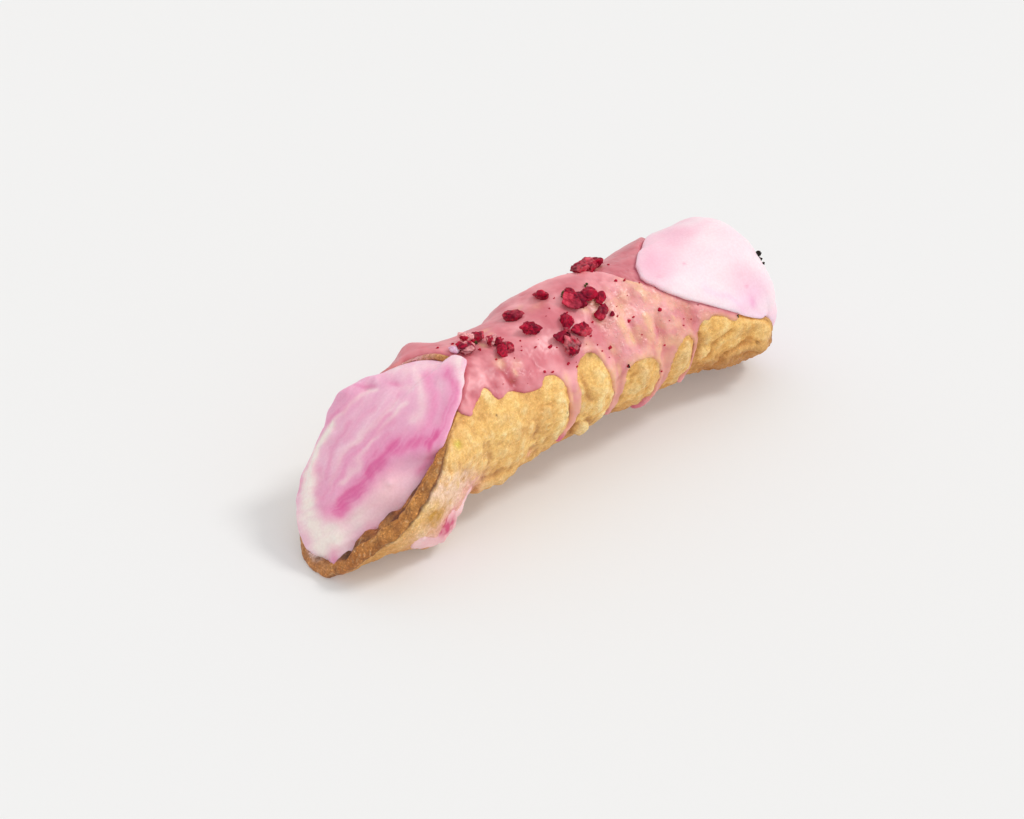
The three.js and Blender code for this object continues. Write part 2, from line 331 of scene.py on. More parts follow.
def far_folds(x, a):
    out = 0 * x + 0 * a
    for pts, w, h in FAR_FOLDS:
        line = [(px, pa * 0.36) for px, pa in pts]
        out = out + h * stroke(x + 0 * a, a * 0.36 + 0 * x, line, w)
    # the last millimetres fall away to the rim's edge
    edge = step(80, 90, turn(a)) * (1 - step(114, 126, turn(a)))
    return out - 1.5 * edge * (1 - step(0.2, 3.2, far_rim(a) - x))


def dough_relief(x, a, r):
    """Fine relief of the dough's outside, mm."""
    p = place(x, a, r)
    t = turn(a)
    far_lip = step(44, 54, x) * step(70, 90, t) * (1 - step(165, 190, t))
    flat = 1 - step(-14, -6, x)
    billow = np.abs(N2.fbm(p, 4.2, 3)) * 0.55 - 0.12
    rough = N1.fbm(p, 6.0, 3) * 0.28 + billow * (1 - 0.35 * flat)
    # fine wrinkles drawn round the tube
    q = np.stack([x * 1.0 + 0 * r, a * 0.36 * 0.38 + 0 * r, 0 * r], -1)
    rough = rough + 0.13 * N3.fbm(q, 1.7, 3) + 0.07 * N4.fbm(p, 1.3, 2)
    # deep crooked creases between the crumples low on the far lip, smooth above
    crumple = far_lip * step(104, 124, t)
    rough = rough * (1 + 0.5 * crumple - 0.45 * (far_lip - crumple))
    crease = np.abs(N4.fbm(p + 7, 9.0, 2))
    rough = rough - 0.75 * crumple * (1 - step(0.0, 0.20, crease)) * step(-0.3, 0.3, N1(p, 11.0))
    rough = rough + far_folds(x, wrap(a))
    b = blisters(x, a)
    # a thin ledge of dough along the underside, its near end broken off square
    ledge = 1.9 * step(-36.5, -34.8, x) * (1 - step(-27, -17, x)) * step(119, 129, t) * (1 - step(131, 150, t))
    ledge = ledge + 1.2 * bell(x + 15, 4.5) * bell_a(a, 132, 6)
    # a round knob hanging under the first bubbles
    q = 1 - ((x - 1.4) / 2.5) ** 2 - (wrap(a - 118) * 0.37 / 3.0) ** 2
    knob = 2.1 * np.clip(q, 0, None) ** 0.6
    return rough + b + ledge + knob


def dough_outer(x, a):
    r = skin(x, a) - sunk(x, a)
    return r + dough_relief(x, a, r) * (1 - 0.45 * sunk(x, a))


def fold_in(x, a):
    """How much further in the near lip's inner side reaches: the dough is doubled there."""
    t = turn(a)
    m = x - near_rim(a)
    thick = 3.3 * step(64, 96, t) * (1 - step(112, 150, t)) + 0.8 * step(150, 170, t) * (1 - step(205, 225, t))
    thick = thick + 2.4 * bell(m - 5.2, 4.6) * bell_a(a, 134, 9) + 1.6 * bell(m - 3.4, 3.0) * bell_a(a, 149, 6)
    thick = thick + 1.2 * bell(m - 6.5, 4.0) * bell_a(a, 114, 8)
    return thick * step(-0.5, 4.0, m) * (1 - step(16, 26, m))


def dough_bore(x, a):
    r = form(x, a) - WALL - fold_in(x, a)
    p = place(x, a, r)
    r = r + N3.fbm(p, 4.0, 3) * 0.42 + 0.24 * N2.fbm(p, 1.8, 2) + 0.10 * N4.fbm(p, 0.9, 2)
    # crevices between the folds on the inside of the near lip
    m = x - near_rim(a)
    gap = 0.55 * bell(m - 4.2, 3.0) * bell_a(a, 143.5, 2.4) + 0.8 * bell(m - 6.5, 4.0) * bell_a(a, 122.5, 3.4)
    gap = gap + 0.5 * bell(m - 6.5, 3.4) * bell_a(a, 106, 3.2)
    return r + 2.2 * gap


# ---------------------------------------------------------------- the grid --
def even_angles(n):
    """Angles round the tube, closer together on the glazed front side."""
    t = np.linspace(-180, 180, 3601)
    dens = 1 + 0.75 * step(-75, -45, t) * (1 - step(135, 160, t))
    cum = np.concatenate([[0], np.cumsum((dens[1:] + dens[:-1]) / 2)])
    cum /= cum[-1]
    return np.interp(np.arange(n) / n, cum, t)


ANGLES = even_angles(288)
NA = len(ANGLES)
SPAN = np.linspace(0, 1, 268)


def rim_x(a):
    """Both rims with their small nicks and waves, mm."""
    p = np.stack([np.cos(rad(a)) * 20, np.sin(rad(a)) * 20, 0 * a], -1)
    n = near_rim(a) + 0.45 * N1.fbm(p, 6, 3)
    f = far_rim(a) + 0.55 * N2.fbm(p + 40, 5, 3)
    return n, f


RIM_N, RIM_F = rim_x(ANGLES)
EDGE = 1.3   # how far the rims are rounded over


def ring_faces(rows, cols, close_rows):
    i = np.arange(rows if close_rows else rows - 1)[:, None]
    j = np.arange(cols)[None, :]
    k = (i + 1) % rows
    m = (j + 1) % cols
    return np.stack([i * cols + j, i * cols + m, k * cols + m, k * cols + j], -1).reshape(-1, 4)


def build(name, verts, faces, attrs=None):
    """A mesh object from arrays: verts in metres, and a list of face arrays."""
    me = bpy.data.meshes.new(name)
    verts = np.asarray(verts, np.float32)
    loops = np.concatenate([np.asarray(f, np.int32).ravel() for f in faces])
    count = np.concatenate([np.full(len(f), f.shape[1], np.int32) for f in faces])
    start = np.concatenate([[0], np.cumsum(count)[:-1]]).astype(np.int32)
    me.vertices.add(len(verts))
    me.vertices.foreach_set("co", verts.ravel())
    me.loops.add(len(loops))
    me.loops.foreach_set("vertex_index", loops)
    me.polygons.add(len(count))
    me.polygons.foreach_set("loop_start", start)
    me.polygons.foreach_set("loop_total", count)
    me.update(calc_edges=True)
    for key, val in (attrs or {}).items():
        val = np.asarray(val, np.float32)
        if val.ndim == 2:
            at = me.attributes.new(key, "FLOAT_COLOR", "POINT")
            rgba = np.concatenate([np.clip(val, 0, 1), np.ones((len(val), 1), np.float32)], 1)
            at.data.foreach_set("color", rgba.ravel())
        else:
            at = me.attributes.new(key, "FLOAT", "POINT")
            at.data.foreach_set("value", val.ravel())
    me.polygons.foreach_set("use_smooth", np.ones(len(me.polygons), bool))
    ob = bpy.data.objects.new(name, me)
    bpy.context.scene.collection.objects.link(ob)
    return ob


# ------------------------------------------------------------- node helper --
class Tree:
    """A small helper to write shader trees in lines instead of pages."""

    def __init__(self, name):
        self.mat = bpy.data.materials.new(name)
        self.mat.use_nodes = True
        self.nt = self.mat.node_tree
        self.nt.nodes.clear()
        self.out = self.nt.nodes.new("ShaderNodeOutputMaterial")
        self.bsdf = self.nt.nodes.new("ShaderNodeBsdfPrincipled")
        self.nt.links.new(self.bsdf.outputs[0], self.out.inputs[0])
        self.coord = self.nt.nodes.new("ShaderNodeTexCoord").outputs["Object"]

    def put(self, socket, value):
        if isinstance(value, bpy.types.NodeSocket):
            self.nt.links.new(value, socket)
        else:
            if hasattr(value, "__len__") and len(value) == 3 and socket.type == "RGBA":
                value = (*value, 1.0)
            socket.default_value = value

    def set(self, name, value):
        self.put(self.bsdf.inputs[name], value)

    def attr(self, name, fac=True):
        n = self.nt.nodes.new("ShaderNodeAttribute")
        n.attribute_name = name
        return n.outputs["Fac" if fac else "Color"]

    def noise(self, scale, detail=3.0, rough=0.5, distort=0.0, vec=None, color=False):
        n = self.nt.nodes.new("ShaderNodeTexNoise")
        self.put(n.inputs["Vector"], vec or self.coord)
        n.inputs["Scale"].default_value = scale
        n.inputs["Detail"].default_value = detail
        n.inputs["Roughness"].default_value = rough
        n.inputs["Distortion"].default_value = distort
        return n.outputs["Color" if color else "Fac"]

    def voronoi(self, scale, feature="F1", vec=None):
        n = self.nt.nodes.new("ShaderNodeTexVoronoi")
        n.feature = feature
        self.put(n.inputs["Vector"], vec or self.coord)
        n.inputs["Scale"].default_value = scale
        return n.outputs["Distance"]

    def math(self, op, a, b=0.0, c=None, clamp=False):
        n = self.nt.nodes.new("ShaderNodeMath")
        n.operation = op
        n.use_clamp = clamp
        self.put(n.inputs[0], a)
        self.put(n.inputs[1], b)
        if c is not None:
            self.put(n.inputs[2], c)
        return n.outputs[0]

    def remap(self, v, lo, hi, to0=0.0, to1=1.0, smooth=True):
        n = self.nt.nodes.new("ShaderNodeMapRange")
        n.interpolation_type = "SMOOTHSTEP" if smooth else "LINEAR"
        self.put(n.inputs[0], v)
        for k, w in zip((1, 2, 3, 4), (lo, hi, to0, to1)):
            n.inputs[k].default_value = w
        return n.outputs[0]

    def mixc(self, fac, a, b, mode="MIX"):
        n = self.nt.nodes.new("ShaderNodeMix")
        n.data_type = "RGBA"
        n.blend_type = mode
        n.clamp_result = False
        self.put(n.inputs[0], fac)
        self.put(n.inputs[6], a)
        self.put(n.inputs[7], b)
        return n.outputs[2]

    def bump(self, height, strength, distance, normal=None):
        n = self.nt.nodes.new("ShaderNodeBump")
        n.inputs["Strength"].default_value = strength
        n.inputs["Distance"].default_value = distance
        self.put(n.inputs["Height"], height)
        if normal is not None:
            self.put(n.inputs["Normal"], normal)
        return n.outputs[0]


# ------------------------------------------------------------------ glaze ---
# Lower edge of the glaze down the front side: station and angle, from the near
# rim to the far one.  It runs down in the valleys between the dough's bubbles.
FRONT = [
    (-41.5, 45), (-39.6, 54), (-37.6, 57.5), (-35.9, 54), (-32.7, 48), (-30.0, 43.5),
    (-28.8, 45), (-28.3, 51.5), (-27.2, 56), (-25.6, 56.6), (-23.8, 54), (-21.1, 56),
    (-18.4, 61), (-15.0, 63), (-12.4, 62), (-10.6, 57), (-7.4, 58.5), (-5.4, 65),
    (-4.5, 73), (-4.3, 86), (-3.8, 97), (-4.4, 106), (-6.4, 113), (-7.6, 119), (-6.4, 123), (-4.4, 121),
    (-2.6, 113), (-1.0, 101), (-0.4, 90), (-0.4, 83), (-0.4, 73), (0.9, 63), (4.2, 56), (7.7, 57), (9.3, 67),
    (10.7, 78), (12.2, 94), (12.8, 108), (13.4, 124), (15.0, 132), (16.4, 122), (17.0, 104), (17.5, 88),
    (19.4, 80.5), (22.5, 79), (25.6, 80), (28.5, 87), (30.6, 101), (30.4, 116), (28.4, 128), (26.2, 137), (27.0, 143), (30.0, 144), (32.4, 136),
    (34.2, 122), (35.2, 108), (35.6, 94), (37.5, 83), (39.6, 79.5), (41.7, 79.5),
    (44.0, 88), (44.4, 98), (42.8, 110), (40.8, 121), (41.6, 127), (44.0, 126), (45.6, 114), (46.4, 102),
    (46.6, 86), (48.3, 75), (50.6, 76.5), (52.3, 75), (56.1, 79), (58.2, 84),
    (60.0, 85.4), (61.6, 84), (63.4, 81.5), (64.6, 78.5),
]


def smooth_line(pts, n=5):
    """A soft curve through points."""
    p = np.array(pts, float)
    out = []
    for i in range(len(p) - 1):
        a, b, c, d = p[max(i - 1, 0)], p[i], p[i + 1], p[min(i + 2, len(p) - 1)]
        for t in np.arange(n) / n:
            out.append(0.5 * (2 * b + (c - a) * t + (2 * a - 5 * b + 4 * c - d) * t * t
                              + (-a + 3 * b - 3 * c + d) * t ** 3))
    out.append(p[-1])
    return np.array(out)


def glaze_outline():
    front = smooth_line(FRONT)
    rng = np.random.default_rng(8)
    # round the far rim's edge, over the crown and down the back
    up = np.arange(76.0, -84.0, -4.0)
    far = np.stack([far_rim(up) + 2.4, up], -1)
    # runs down the back side: broad scallops and a few long drips
    back, x = [], float(far_rim(np.array(-84.0))) - 1.5
    while x > -35:
        if rng.uniform() < 0.30:
            w, d = rng.uniform(4.2, 5.6), rng.uniform(18, 40)
            back += [(x, -85), (x - w * 0.24, -86 - d * 0.30), (x - w * 0.30, -85 - d * 0.78), (x - w * 0.48, -85 - d),
                     (x - w * 0.70, -85 - d * 0.80), (x - w * 0.72, -86 - d * 0.30)]
        else:
            w, d = rng.uniform(4.5, 10.5), rng.uniform(2, 11)
            back += [(x, -83 + rng.uniform(-2, 2)), (x - w * 0.22, -84 - d * 0.80), (x - w * 0.48, -84 - d),
                     (x - w * 0.76, -84 - d * 0.72)]
        x -= w
    back = smooth_line(back, 4)
    # up the back rim and over the crown to the start
    up = np.arange(-78.0, 45.0, 4.0)
    bare = step(-37, -29, up) * (1 - step(2, 7, up))
    near = np.stack([near_rim(up) + lerp(-2.2, 1.9, bare) + 0.5 * N1(np.stack([up * 0.4, 0 * up, 0 * up], -1), 1.6), up], -1)
    line = np.concatenate([front, far, back, near])
    return np.stack([line[:, 0], line[:, 1] * 0.36], -1)


def signed_distance(px, py, poly):
    """mm inside (+) or outside (-) of a closed outline in the unrolled plane."""
    best = np.full(px.shape, 1e9)
    inside = np.zeros(px.shape, bool)
    x0, y0 = poly[-1]
    for x1, y1 in poly:
        dx, dy = x1 - x0, y1 - y0
        t = np.clip(((px - x0) * dx + (py - y0) * dy) / (dx * dx + dy * dy + 1e-12), 0, 1)
        best = np.minimum(best, (px - x0 - t * dx) ** 2 + (py - y0 - t * dy) ** 2)
        if y0 != y1:
            cross = ((y0 > py) != (y1 > py)) & (px < (x1 - x0) * (py - y0) / (y1 - y0) + x0)
            inside ^= cross
        x0, y0 = x1, y1
    return np.where(inside, 1, -1) * np.sqrt(best)


GLAZE_LINE = glaze_outline()
# A thin run of it along the lower edge of the near lip's ear.
EAR_LINE = smooth_line([
    (-38.4, 121), (-38.8, 127), (-42, 132), (-46, 135), (-50, 137), (-54.5, 139), (-58.5, 140), (-61.8, 135),
    (-62.6, 127), (-61.6, 121), (-59.6, 123), (-57.6, 127.5), (-55, 128.5), (-52.8, 125), (-50.8, 120.5), (-48.4, 120),
    (-46.2, 125), (-43.6, 124.5), (-41, 120.5), (-38.4, 121)], 4)[:-1] * np.array([1.0, 0.36])

# Where the glaze is stretched thin over a ridge: x, angle, half-length, half-width in degrees, strength
THIN = [
    (20.7, 49, 1.3, 9, 1.0), (21.6, 60, 1.2, 7, 0.9), (29.3, 54, 1.4, 7, 0.9), (31.5, 33, 1.8, 7, 0.55),
    (15.1, 34, 1.6, 6, 0.6), (12.4, 24, 1.6, 5, 0.45), (7.0, 55, 1.6, 7, 0.9), (9.0, 62, 1.5, 6, 0.7),
    (38, 48, 2.4, 12, 0.35), (34, 44, 4.0, 12, 0.35), (24, 40, 3.0, 10, 0.3), (30, -16, 3.0, 4, 0.45),
    (-21, 31, 1.6, 5, 0.5), (-17, 38, 1.4, 4, 0.4), (2.5, -1, 2.4, 5, 0.25), (14.5, 62, 1.4, 6, 0.45),
    (-0.6, -13, 1.8, 3, 0.55), (-14.4, -9, 1.6, 3, 0.45), (-20.4, 8.4, 0.8, 4, 0.55), (-14.6, -0.6, 1.2, 2, 0.3),
    (-18.6, 43, 0.8, 4, 0.5), (44, 62, 2.0, 8, 0.35), (27, 66, 1.0, 6, 0.5), (-4, 66, 1.2, 5, 0.5), (17, 22, 2.0, 6, 0.4),
]


def glaze_depth(x, a):
    """Distance inside the glaze's outline, mm; negative outside it."""
    shape = np.broadcast(x, a).shape
    x = np.broadcast_to(x, shape)
    a = np.broadcast_to(a, shape)
    p = place(x, a, np.full(shape, TUBE))
    wob = 0.26 * N4.fbm(p, 2.2, 2)
    px, py = x + wob, wrap(a) * 0.36 + wob * 0.7
    d = signed_distance(px, py, GLAZE_LINE)
    ear = np.full(shape, -9.0)
    near = (px < -36) & (py > 36)
    if near.any():
        ear[near] = signed_distance(px[near], py[near], EAR_LINE)
    return np.maximum(d, ear)


def glaze_height(x, a, bare):
    """How far the glaze stands off dough of radius `bare`, away from its edges."""
    p = place(x, a, np.full(np.shape(bare), TUBE))
    t = turn(a)
    calm = skin(x, a) - sunk(x, a) + 0.35
    full = 0.60 + 0.20 * N2.fbm(p, 8.0, 3)
    # a heavy roll hangs over the back of the near rim
    full = full + 2.7 * bell(x + 31.8, 4.0) * bell_a(a, -43, 17)
    low = step(78, 104, t) * (1 - step(165, 190, t)) * step(-36, -30, x)
    full = full + 0.25 * low + 0.45 * step(118, 134, t) * low
    grain = step(10, 26, x) * (1 - step(58, 72, x)) * step(-6, 12, wrap(a)) * (1 - step(66, 84, wrap(a)))
    full = full + 0.17 * grain * N1.fbm(p * np.array([1.0, 0.6, 0.6]), 1.2, 2)
    mixed = calm * 0.5 + bare * 0.5
    ear = (1 - step(-40, -36, x)) * step(95, 105, t) * (1 - step(165, 190, t))
    out = np.maximum(mixed + full - bare, 0.22)
    return lerp(out, 0.45, ear)


def glaze_outer(x, a, bare):
    """Radius of the glaze's outside over dough of radius `bare`."""
    return bare + glaze_height(x, a, bare) * rounded(glaze_depth(x, a))


def rounded(depth):
    edge = np.clip(depth / 1.35, 0, 1)
    return np.sqrt(1 - (1 - edge) ** 2)


# ---------------------------------------------------------------- colours ---
GOLD = srgb(252, 206, 126)
GOLD_PALE = srgb(255, 232, 174)
GOLD_DEEP = srgb(232, 170, 90)
BROWN = srgb(158, 86, 30)
BROWN_DARK = srgb(88, 44, 14)
MILK = srgb(252, 218, 200)
OLIVE = srgb(204, 146, 28)
MAGENTA = srgb(206, 40, 104)
ROSE = srgb(216, 116, 128)
ROSE_LIGHT = srgb(248, 172, 178)
ROSE_DEEP = srgb(188, 76, 92)
PEACH = srgb(240, 188, 146)


def blur(v, k):
    """Mean over a square of 2k+1 cells, round the tube and along it."""
    n = 2 * k + 1
    e = np.concatenate([v[:, -k:], v, v[:, :k]], 1)
    c = np.cumsum(np.concatenate([np.zeros((len(e), 1)), e], 1), 1)
    v = (c[:, n:] - c[:, :-n]) / n
    e = np.concatenate([np.repeat(v[:1], k, 0), v, np.repeat(v[-1:], k, 0)], 0)
    c = np.cumsum(np.concatenate([np.zeros((1, e.shape[1])), e], 0), 0)
    return (c[n:] - c[:-n]) / n


def shell_colour(x, a, outer, p, hollow):
    """Colour of the dough at each point; outer is 1 outside, 0 in the bore; hollow is the relief, turned into painted
    light on raised parts and painted shade in hollows.
    """
    t = turn(a)
    grain = N3.fbm(p, 3.2, 3)
    broad = N1.fbm(p, 13.0, 2)
    c = mix(GOLD, GOLD_DEEP, np.clip(0.11 - 0.55 * broad + 0.16 * grain, 0, 1))
    # painted light and shade from the relief: paler gold on the raised blisters, brown in the hollows between them
    c = mix(c, GOLD_PALE, np.clip(hollow * 1.7 + 0.22 * grain, 0, 0.9) * (outer > 0.9))
    c = mix(c, BROWN, np.clip(-hollow * 1.7 - 0.12, 0, 0.75) * (outer > 0.9))
    c = mix(c, srgb(222, 158, 80), 0.20 * (1 - step(-44, -36, x)) * outer)
    c = mix(c, srgb(255, 216, 146), 0.20 * bell(x + 24, 12) * step(60, 76, t) * (1 - step(124, 140, t)) * outer)
    c = mix(c, srgb(224, 158, 74), 0.36 * step(12, 28, x) * (1 - step(44, 54, x)) * outer)
    far = step(46, 54, x) * (outer > 0.3) * step(60, 76, t) * (1 - step(165, 190, t))
    lines = N4.fbm(np.stack([x + 0 * a, a * 0.06 + 0 * x, 0 * x + 0 * a], -1), 1.5, 2)
    c = mix(c, srgb(255, 198, 108), 0.60 * far)
    # painted light and shade on the far lip: paler gold streaks on its upper part, browner on its lower part
    c = mix(c, srgb(255, 226, 160), far * (1 - step(100, 118, t)) * np.clip(0.20 + 0.5 * lines, 0, 0.6))
    c = mix(c, BROWN, far * step(104, 122, t) * 0.56)
    # painted shade: deeper gold and browner low down, on the underside
    low = step(110, 142, t) * (1 - step(215, 250, t))
    c = mix(c, GOLD_DEEP, 0.60 * low)
    c = mix(c, BROWN, (0.24 + 0.12 * step(-8, 8, x)) * low)
    side = step(0.0, 0.9, N2.fbm(p, 7.0, 3))
    c = mix(c, BROWN, 0.26 * side * outer)
    # inside it is baked brown, with painted light on the folds and painted shade in the crevices
    c = mix(c, BROWN, (1 - outer) * (0.76 + 0.22 * grain))
    c = mix(c, BROWN_DARK, (1 - outer) * np.clip(0.34 + 0.7 * N2.fbm(p, 4.0, 3) + 0.9 * hollow * (outer < 0.1), 0, 0.92))
    c = c * np.where((outer < 0.9) & (x < 10), 1.0, 0.0)[..., None] * (np.array([0.92, 0.72, 0.52]) - 1) + c
    c = mix(c, srgb(206, 144, 76), (outer < 0.9) * (x < 10) * np.clip(1.3 * N4.fbm(p + 7, 5.5, 3) - 0.05, 0, 0.6))
    fleck = step(0.05, 0.75, N1.fbm(p + 3, 1.5, 3))
    c = mix(c, BROWN_DARK, 0.42 * fleck * (outer < 0.9) * (x < 10))
    c = mix(c, srgb(188, 116, 54), (outer < 0.1) * np.clip(-0.9 * hollow - 0.05, 0, 0.6))
    return c


def rim_ring(n, f, a):
    """Angles of the rounded edge."""
    return np.linspace(0, np.pi, 12)[1:-1][:, None]


def parting(n, a):
    """How far behind the near rim the two layers of the lip part, mm."""
    return 2.3 - 0.9 * N2(place(n, a, np.full(np.shape(n + a), 20.0)), 7.0) - 0.4 * N1(place(n, a, np.full(np.shape(n + a), 20.0)), 2.6)


def build_shell():
    a = ANGLES[None, :]
    n, f = RIM_N[None, :], RIM_F[None, :]
    s = SPAN[:, None]
    x = lerp(n + EDGE, f - EDGE, s)
    r = dough_outer(x, a)
    # a groove just behind the near lip's rim, where the two layers of dough part
    t = turn(a)
    at_lip = step(55, 85, t) * (1 - step(122, 148, t))
    gx = x - n - parting(n, a)
    r = r - (0.95 * bell(gx, 0.62) - 0.45 * bell(gx + 1.1, 0.8)) * at_lip * (0.8 + 0.6 * N4(place(n, a, r[:1]), 5.0))
    th = rim_ring(n, f, a)
    bore_f, bore_n = dough_bore(f - EDGE, a), dough_bore(n + EDGE, a)
    # both rounded rims, from outside to inside
    fx, fr = f - EDGE + EDGE * np.sin(th), (r[-1:] + bore_f) / 2 + (r[-1:] - bore_f) / 2 * np.cos(th)
    nx, nr = n + EDGE - EDGE * np.sin(th), (r[:1] + bore_n) / 2 + (r[:1] - bore_n) / 2 * np.cos(th)
    jit = 0.30 * N3.fbm(place(nx, a + 0 * nx, nr), 2.6, 3) + 0.10 * N1.fbm(place(nx, a + 0 * nx, nr), 0.9, 2)
    nx, nr = nx - jit * np.sin(th), nr + jit * np.cos(th)
    jit = 0.22 * N3.fbm(place(fx, a + 0 * fx, fr), 2.2, 2)
    fx, fr = fx + jit * np.sin(th), fr + jit * np.cos(th)
    s_in = np.concatenate([np.linspace(0, 0.10, 18), np.linspace(0.12, 0.34, 9), np.linspace(0.40, 0.60, 4), np.linspace(0.66, 1, 13)])[::-1][:, None]
    xi = lerp(n + EDGE, f - EDGE, s_in)
    ri = dough_bore(xi, a)
    X = np.concatenate([x, fx, xi, nx[::-1]])
    R = np.concatenate([r, fr, ri, nr[::-1]])
    k = len(th)
    O = np.concatenate([np.ones(x.shape), np.full(fx.shape, 0.55), np.zeros(xi.shape), np.full(nx.shape, 0.45)])
    A = np.broadcast_to(a, X.shape)
    P = place(X, A, R)
    # the relief, which shell_colour turns into painted light on raised parts and painted shade in hollows
    relief = r - blur(r, 6)
    hollow = np.zeros(X.shape)
    hollow[:len(x)] = relief
    hollow[len(x) + k:len(x) + k + len(ri)] = ri - blur(ri, 6)
    col = shell_colour(X, A, O, P, hollow)
    t = turn(A)
    out = O > 0.9
    # thin milky glaze over the ear and down to its lower edge
    milk = (bell(X + 50.5, 8.5) * bell_a(A, 108, 15) + 0.8 * bell(X + 54.3, 5) * bell_a(A, 93, 8)
            + 0.8 * bell(X + 45, 6) * bell_a(A, 112, 14) + 0.7 * bell(X + 60, 5) * bell_a(A, 122, 9))
    milk = np.clip(milk * (0.80 + 0.95 * N2.fbm(P, 3.2, 3)), 0, 0.88) * out
    col = mix(col, MILK, milk)
    blush = (bell(X + 50, 9) * bell_a(A, 128, 10) + bell(X + 41, 5) * bell_a(A, 118, 10)) * (0.8 + 0.6 * N4.fbm(P, 2.5, 2))
    col = mix(col, srgb(250, 186, 190), np.clip(blush, 0, 0.75) * out)
    col = mix(col, OLIVE, 0.85 * np.clip(bell(X + 56.4, 4.0) * bell_a(A, 109, 8.0) * (1.25 + 0.9 * N1(P, 1.8)), 0, 1) * out)
    col = mix(col, MAGENTA, 0.95 * np.clip(bell(X + 50.4, 3.0) * bell_a(A, 123.5, 4.6) * (1.25 + 0.9 * N1(P, 1.4)), 0, 1) * out)
    col = mix(col, srgb(214, 204, 60), 0.75 * np.clip(bell(X + 45.6, 1.2) * bell_a(A, 71, 2.8), 0, 1) * out)
    film = step(-60, -44, wrap(A)) * (1 - step(-16, 0, wrap(A))) * (1 - step(1.0, 4.0, X - near_rim(A))) * (O > 0.3)
    col = mix(col, srgb(228, 168, 178), np.clip(film * (1.0 + 0.7 * N1.fbm(P, 1.6, 2)), 0, 0.9))
    strip = step(-22, -10, wrap(A)) * (1 - step(6, 12, wrap(A))) * (1 - step(1.5, 4.5, X - near_rim(A))) * (O > 0.3)
    col = mix(col, srgb(190, 134, 82), 0.62 * strip)
    # the parting line behind the near lip's rim, with pale crumbs along it
    at_lip = step(58, 86, t) * (1 - step(120, 146, t)) * out
    gline = X - near_rim(A) - parting(near_rim(A), A)
    rimband = (1 - step(-0.8, 0.5, gline + 0.5 * N4(P, 1.5))) * step(50, 75, t) * (1 - step(190, 230, t)) * out
    col = mix(col, srgb(150, 80, 28), 0.88 * rimband)
    col = mix(col, srgb(196, 126, 60), np.clip(1.1 * N4.fbm(P, 2.0, 3) - 0.1, 0, 0.7) * rimband)
    col = mix(col, BROWN_DARK, np.clip(0.26 + 1.0 * N2.fbm(P, 2.6, 3), 0, 0.75) * rimband)
    # flecks of pale flour on the lip and the ear
    flour = step(0.30, 0.52, N1.fbm(P, 0.70, 1)) * step(60, 80, t) * (1 - step(210, 235, t)) * (1 - step(26, 40, X - near_rim(A)))
    col = mix(col, srgb(252, 222, 176), 0.42 * flour * np.clip(0.5 + N3(P, 6.0), 0, 1))
    # painted shade: a dark line in the groove where the two layers part
    col = mix(col, BROWN_DARK, np.clip((0.85 + 0.5 * N4(P, 2.0)) * bell(gline, 0.62), 0, 0.95) * at_lip)
    col = mix(col, srgb(250, 226, 190), 0.55 * bell(gline - 1.1, 0.7) * at_lip * step(0.05, 0.5, N1(P, 0.9)))
    # a milky smear low on the lip's front
    smear = bell_a(A, 163, 10) * bell(X - near_rim(A) - 2.5, 2.2) * out
    col = mix(col, srgb(246, 196, 180), np.clip(smear * (0.8 + 0.8 * N2(P, 1.8)), 0, 0.7))
    # small dark spots, olive where wider: painted shade of small pits and notches
    for px_, pa_, w_ in ((13.4, 103, 0.55), (12.6, 107.5, 0.45), (6.6, 57, 1.1), (9.2, 62, 1.0), (-30, 66, 0.35), (-6.4, 90, 0.35), (24.2, 103, 0.35),
                          (69.2, 112.4, 0.35)):
        tint = BROWN_DARK if w_ < 1 else srgb(140, 98, 30)
        col = mix(col, tint, 0.85 * np.clip(bell(X - px_, w_) * bell_a(A, pa_, w_ / 0.36) * (1 + 0.5 * N1(P, 0.8)), 0, 1) * out)
    col = mix(col, srgb(240, 160, 150), 0.55 * np.clip(bell(X + 17.5, 1.3) * bell_a(A, 119, 3.4), 0, 1) * out)
    # painted shade where the filling meets the lip, and in the crevice at the ear's fold
    edge = (X - near_rim(A)) / np.maximum(np.interp(t, LIP_A, LIP_IN), 1.0)
    painted_contact_shade = step(0.05, 0.65, edge) * step(72, 92, t) * (1 - step(165, 185, t)) * (O < 0.5)
    col = mix(col, srgb(74, 34, 20), np.clip(painted_contact_shade * (0.60 + 1.2 * N1.fbm(P, 4.0, 2)), 0, 0.85))
    col = mix(col, srgb(84, 46, 22), np.clip(bell_a(A, 143, 13) * (O < 0.1) * step(1.2, 3.0, X - near_rim(A)) * (X < 0) * (0.42 + 0.8 * N4.fbm(P, 2.4, 2)), 0, 0.7))
    # painted light: gold on the lip's lowest part in front of the filling, where the filling's bulge shades it; then a
    # smear of white
    sill = bell_a(A, 176, 22) * (O < 0.9) * (1 - step(3.5, 6.5, X - near_rim(A)))
    col = mix(col, srgb(210, 148, 92), np.clip(sill * (0.55 + 0.6 * N3.fbm(P, 3.5, 2)), 0, 0.85))
    sill = bell_a(A, 181, 9) * (O < 0.9) * step(0.2, 1.0, X - near_rim(A)) * (1 - step(3.5, 6.5, X - near_rim(A)))
    col = mix(col, srgb(244, 222, 224), np.clip(sill * (0.7 + 1.0 * N1(P, 1.6)), 0, 0.8))
    grain = np.clip(1.0 * (O < 0.9) * (X < 10) + rimband, 0, 1)
    grain = np.maximum(grain, 0.45 * step(64, 84, t) * (1 - step(170, 200, t)) * (1 - step(5, 22, X - near_rim(A))))
    grain = np.maximum(grain, (0.24 + 0.10 * step(40, 50, X)) * out)
    ob = build("shell_skin", to_row(P.reshape(-1, 3)), [ring_faces(P.shape[0], NA, True)],
               {"tone": col.reshape(-1, 3), "grain": grain.ravel()})
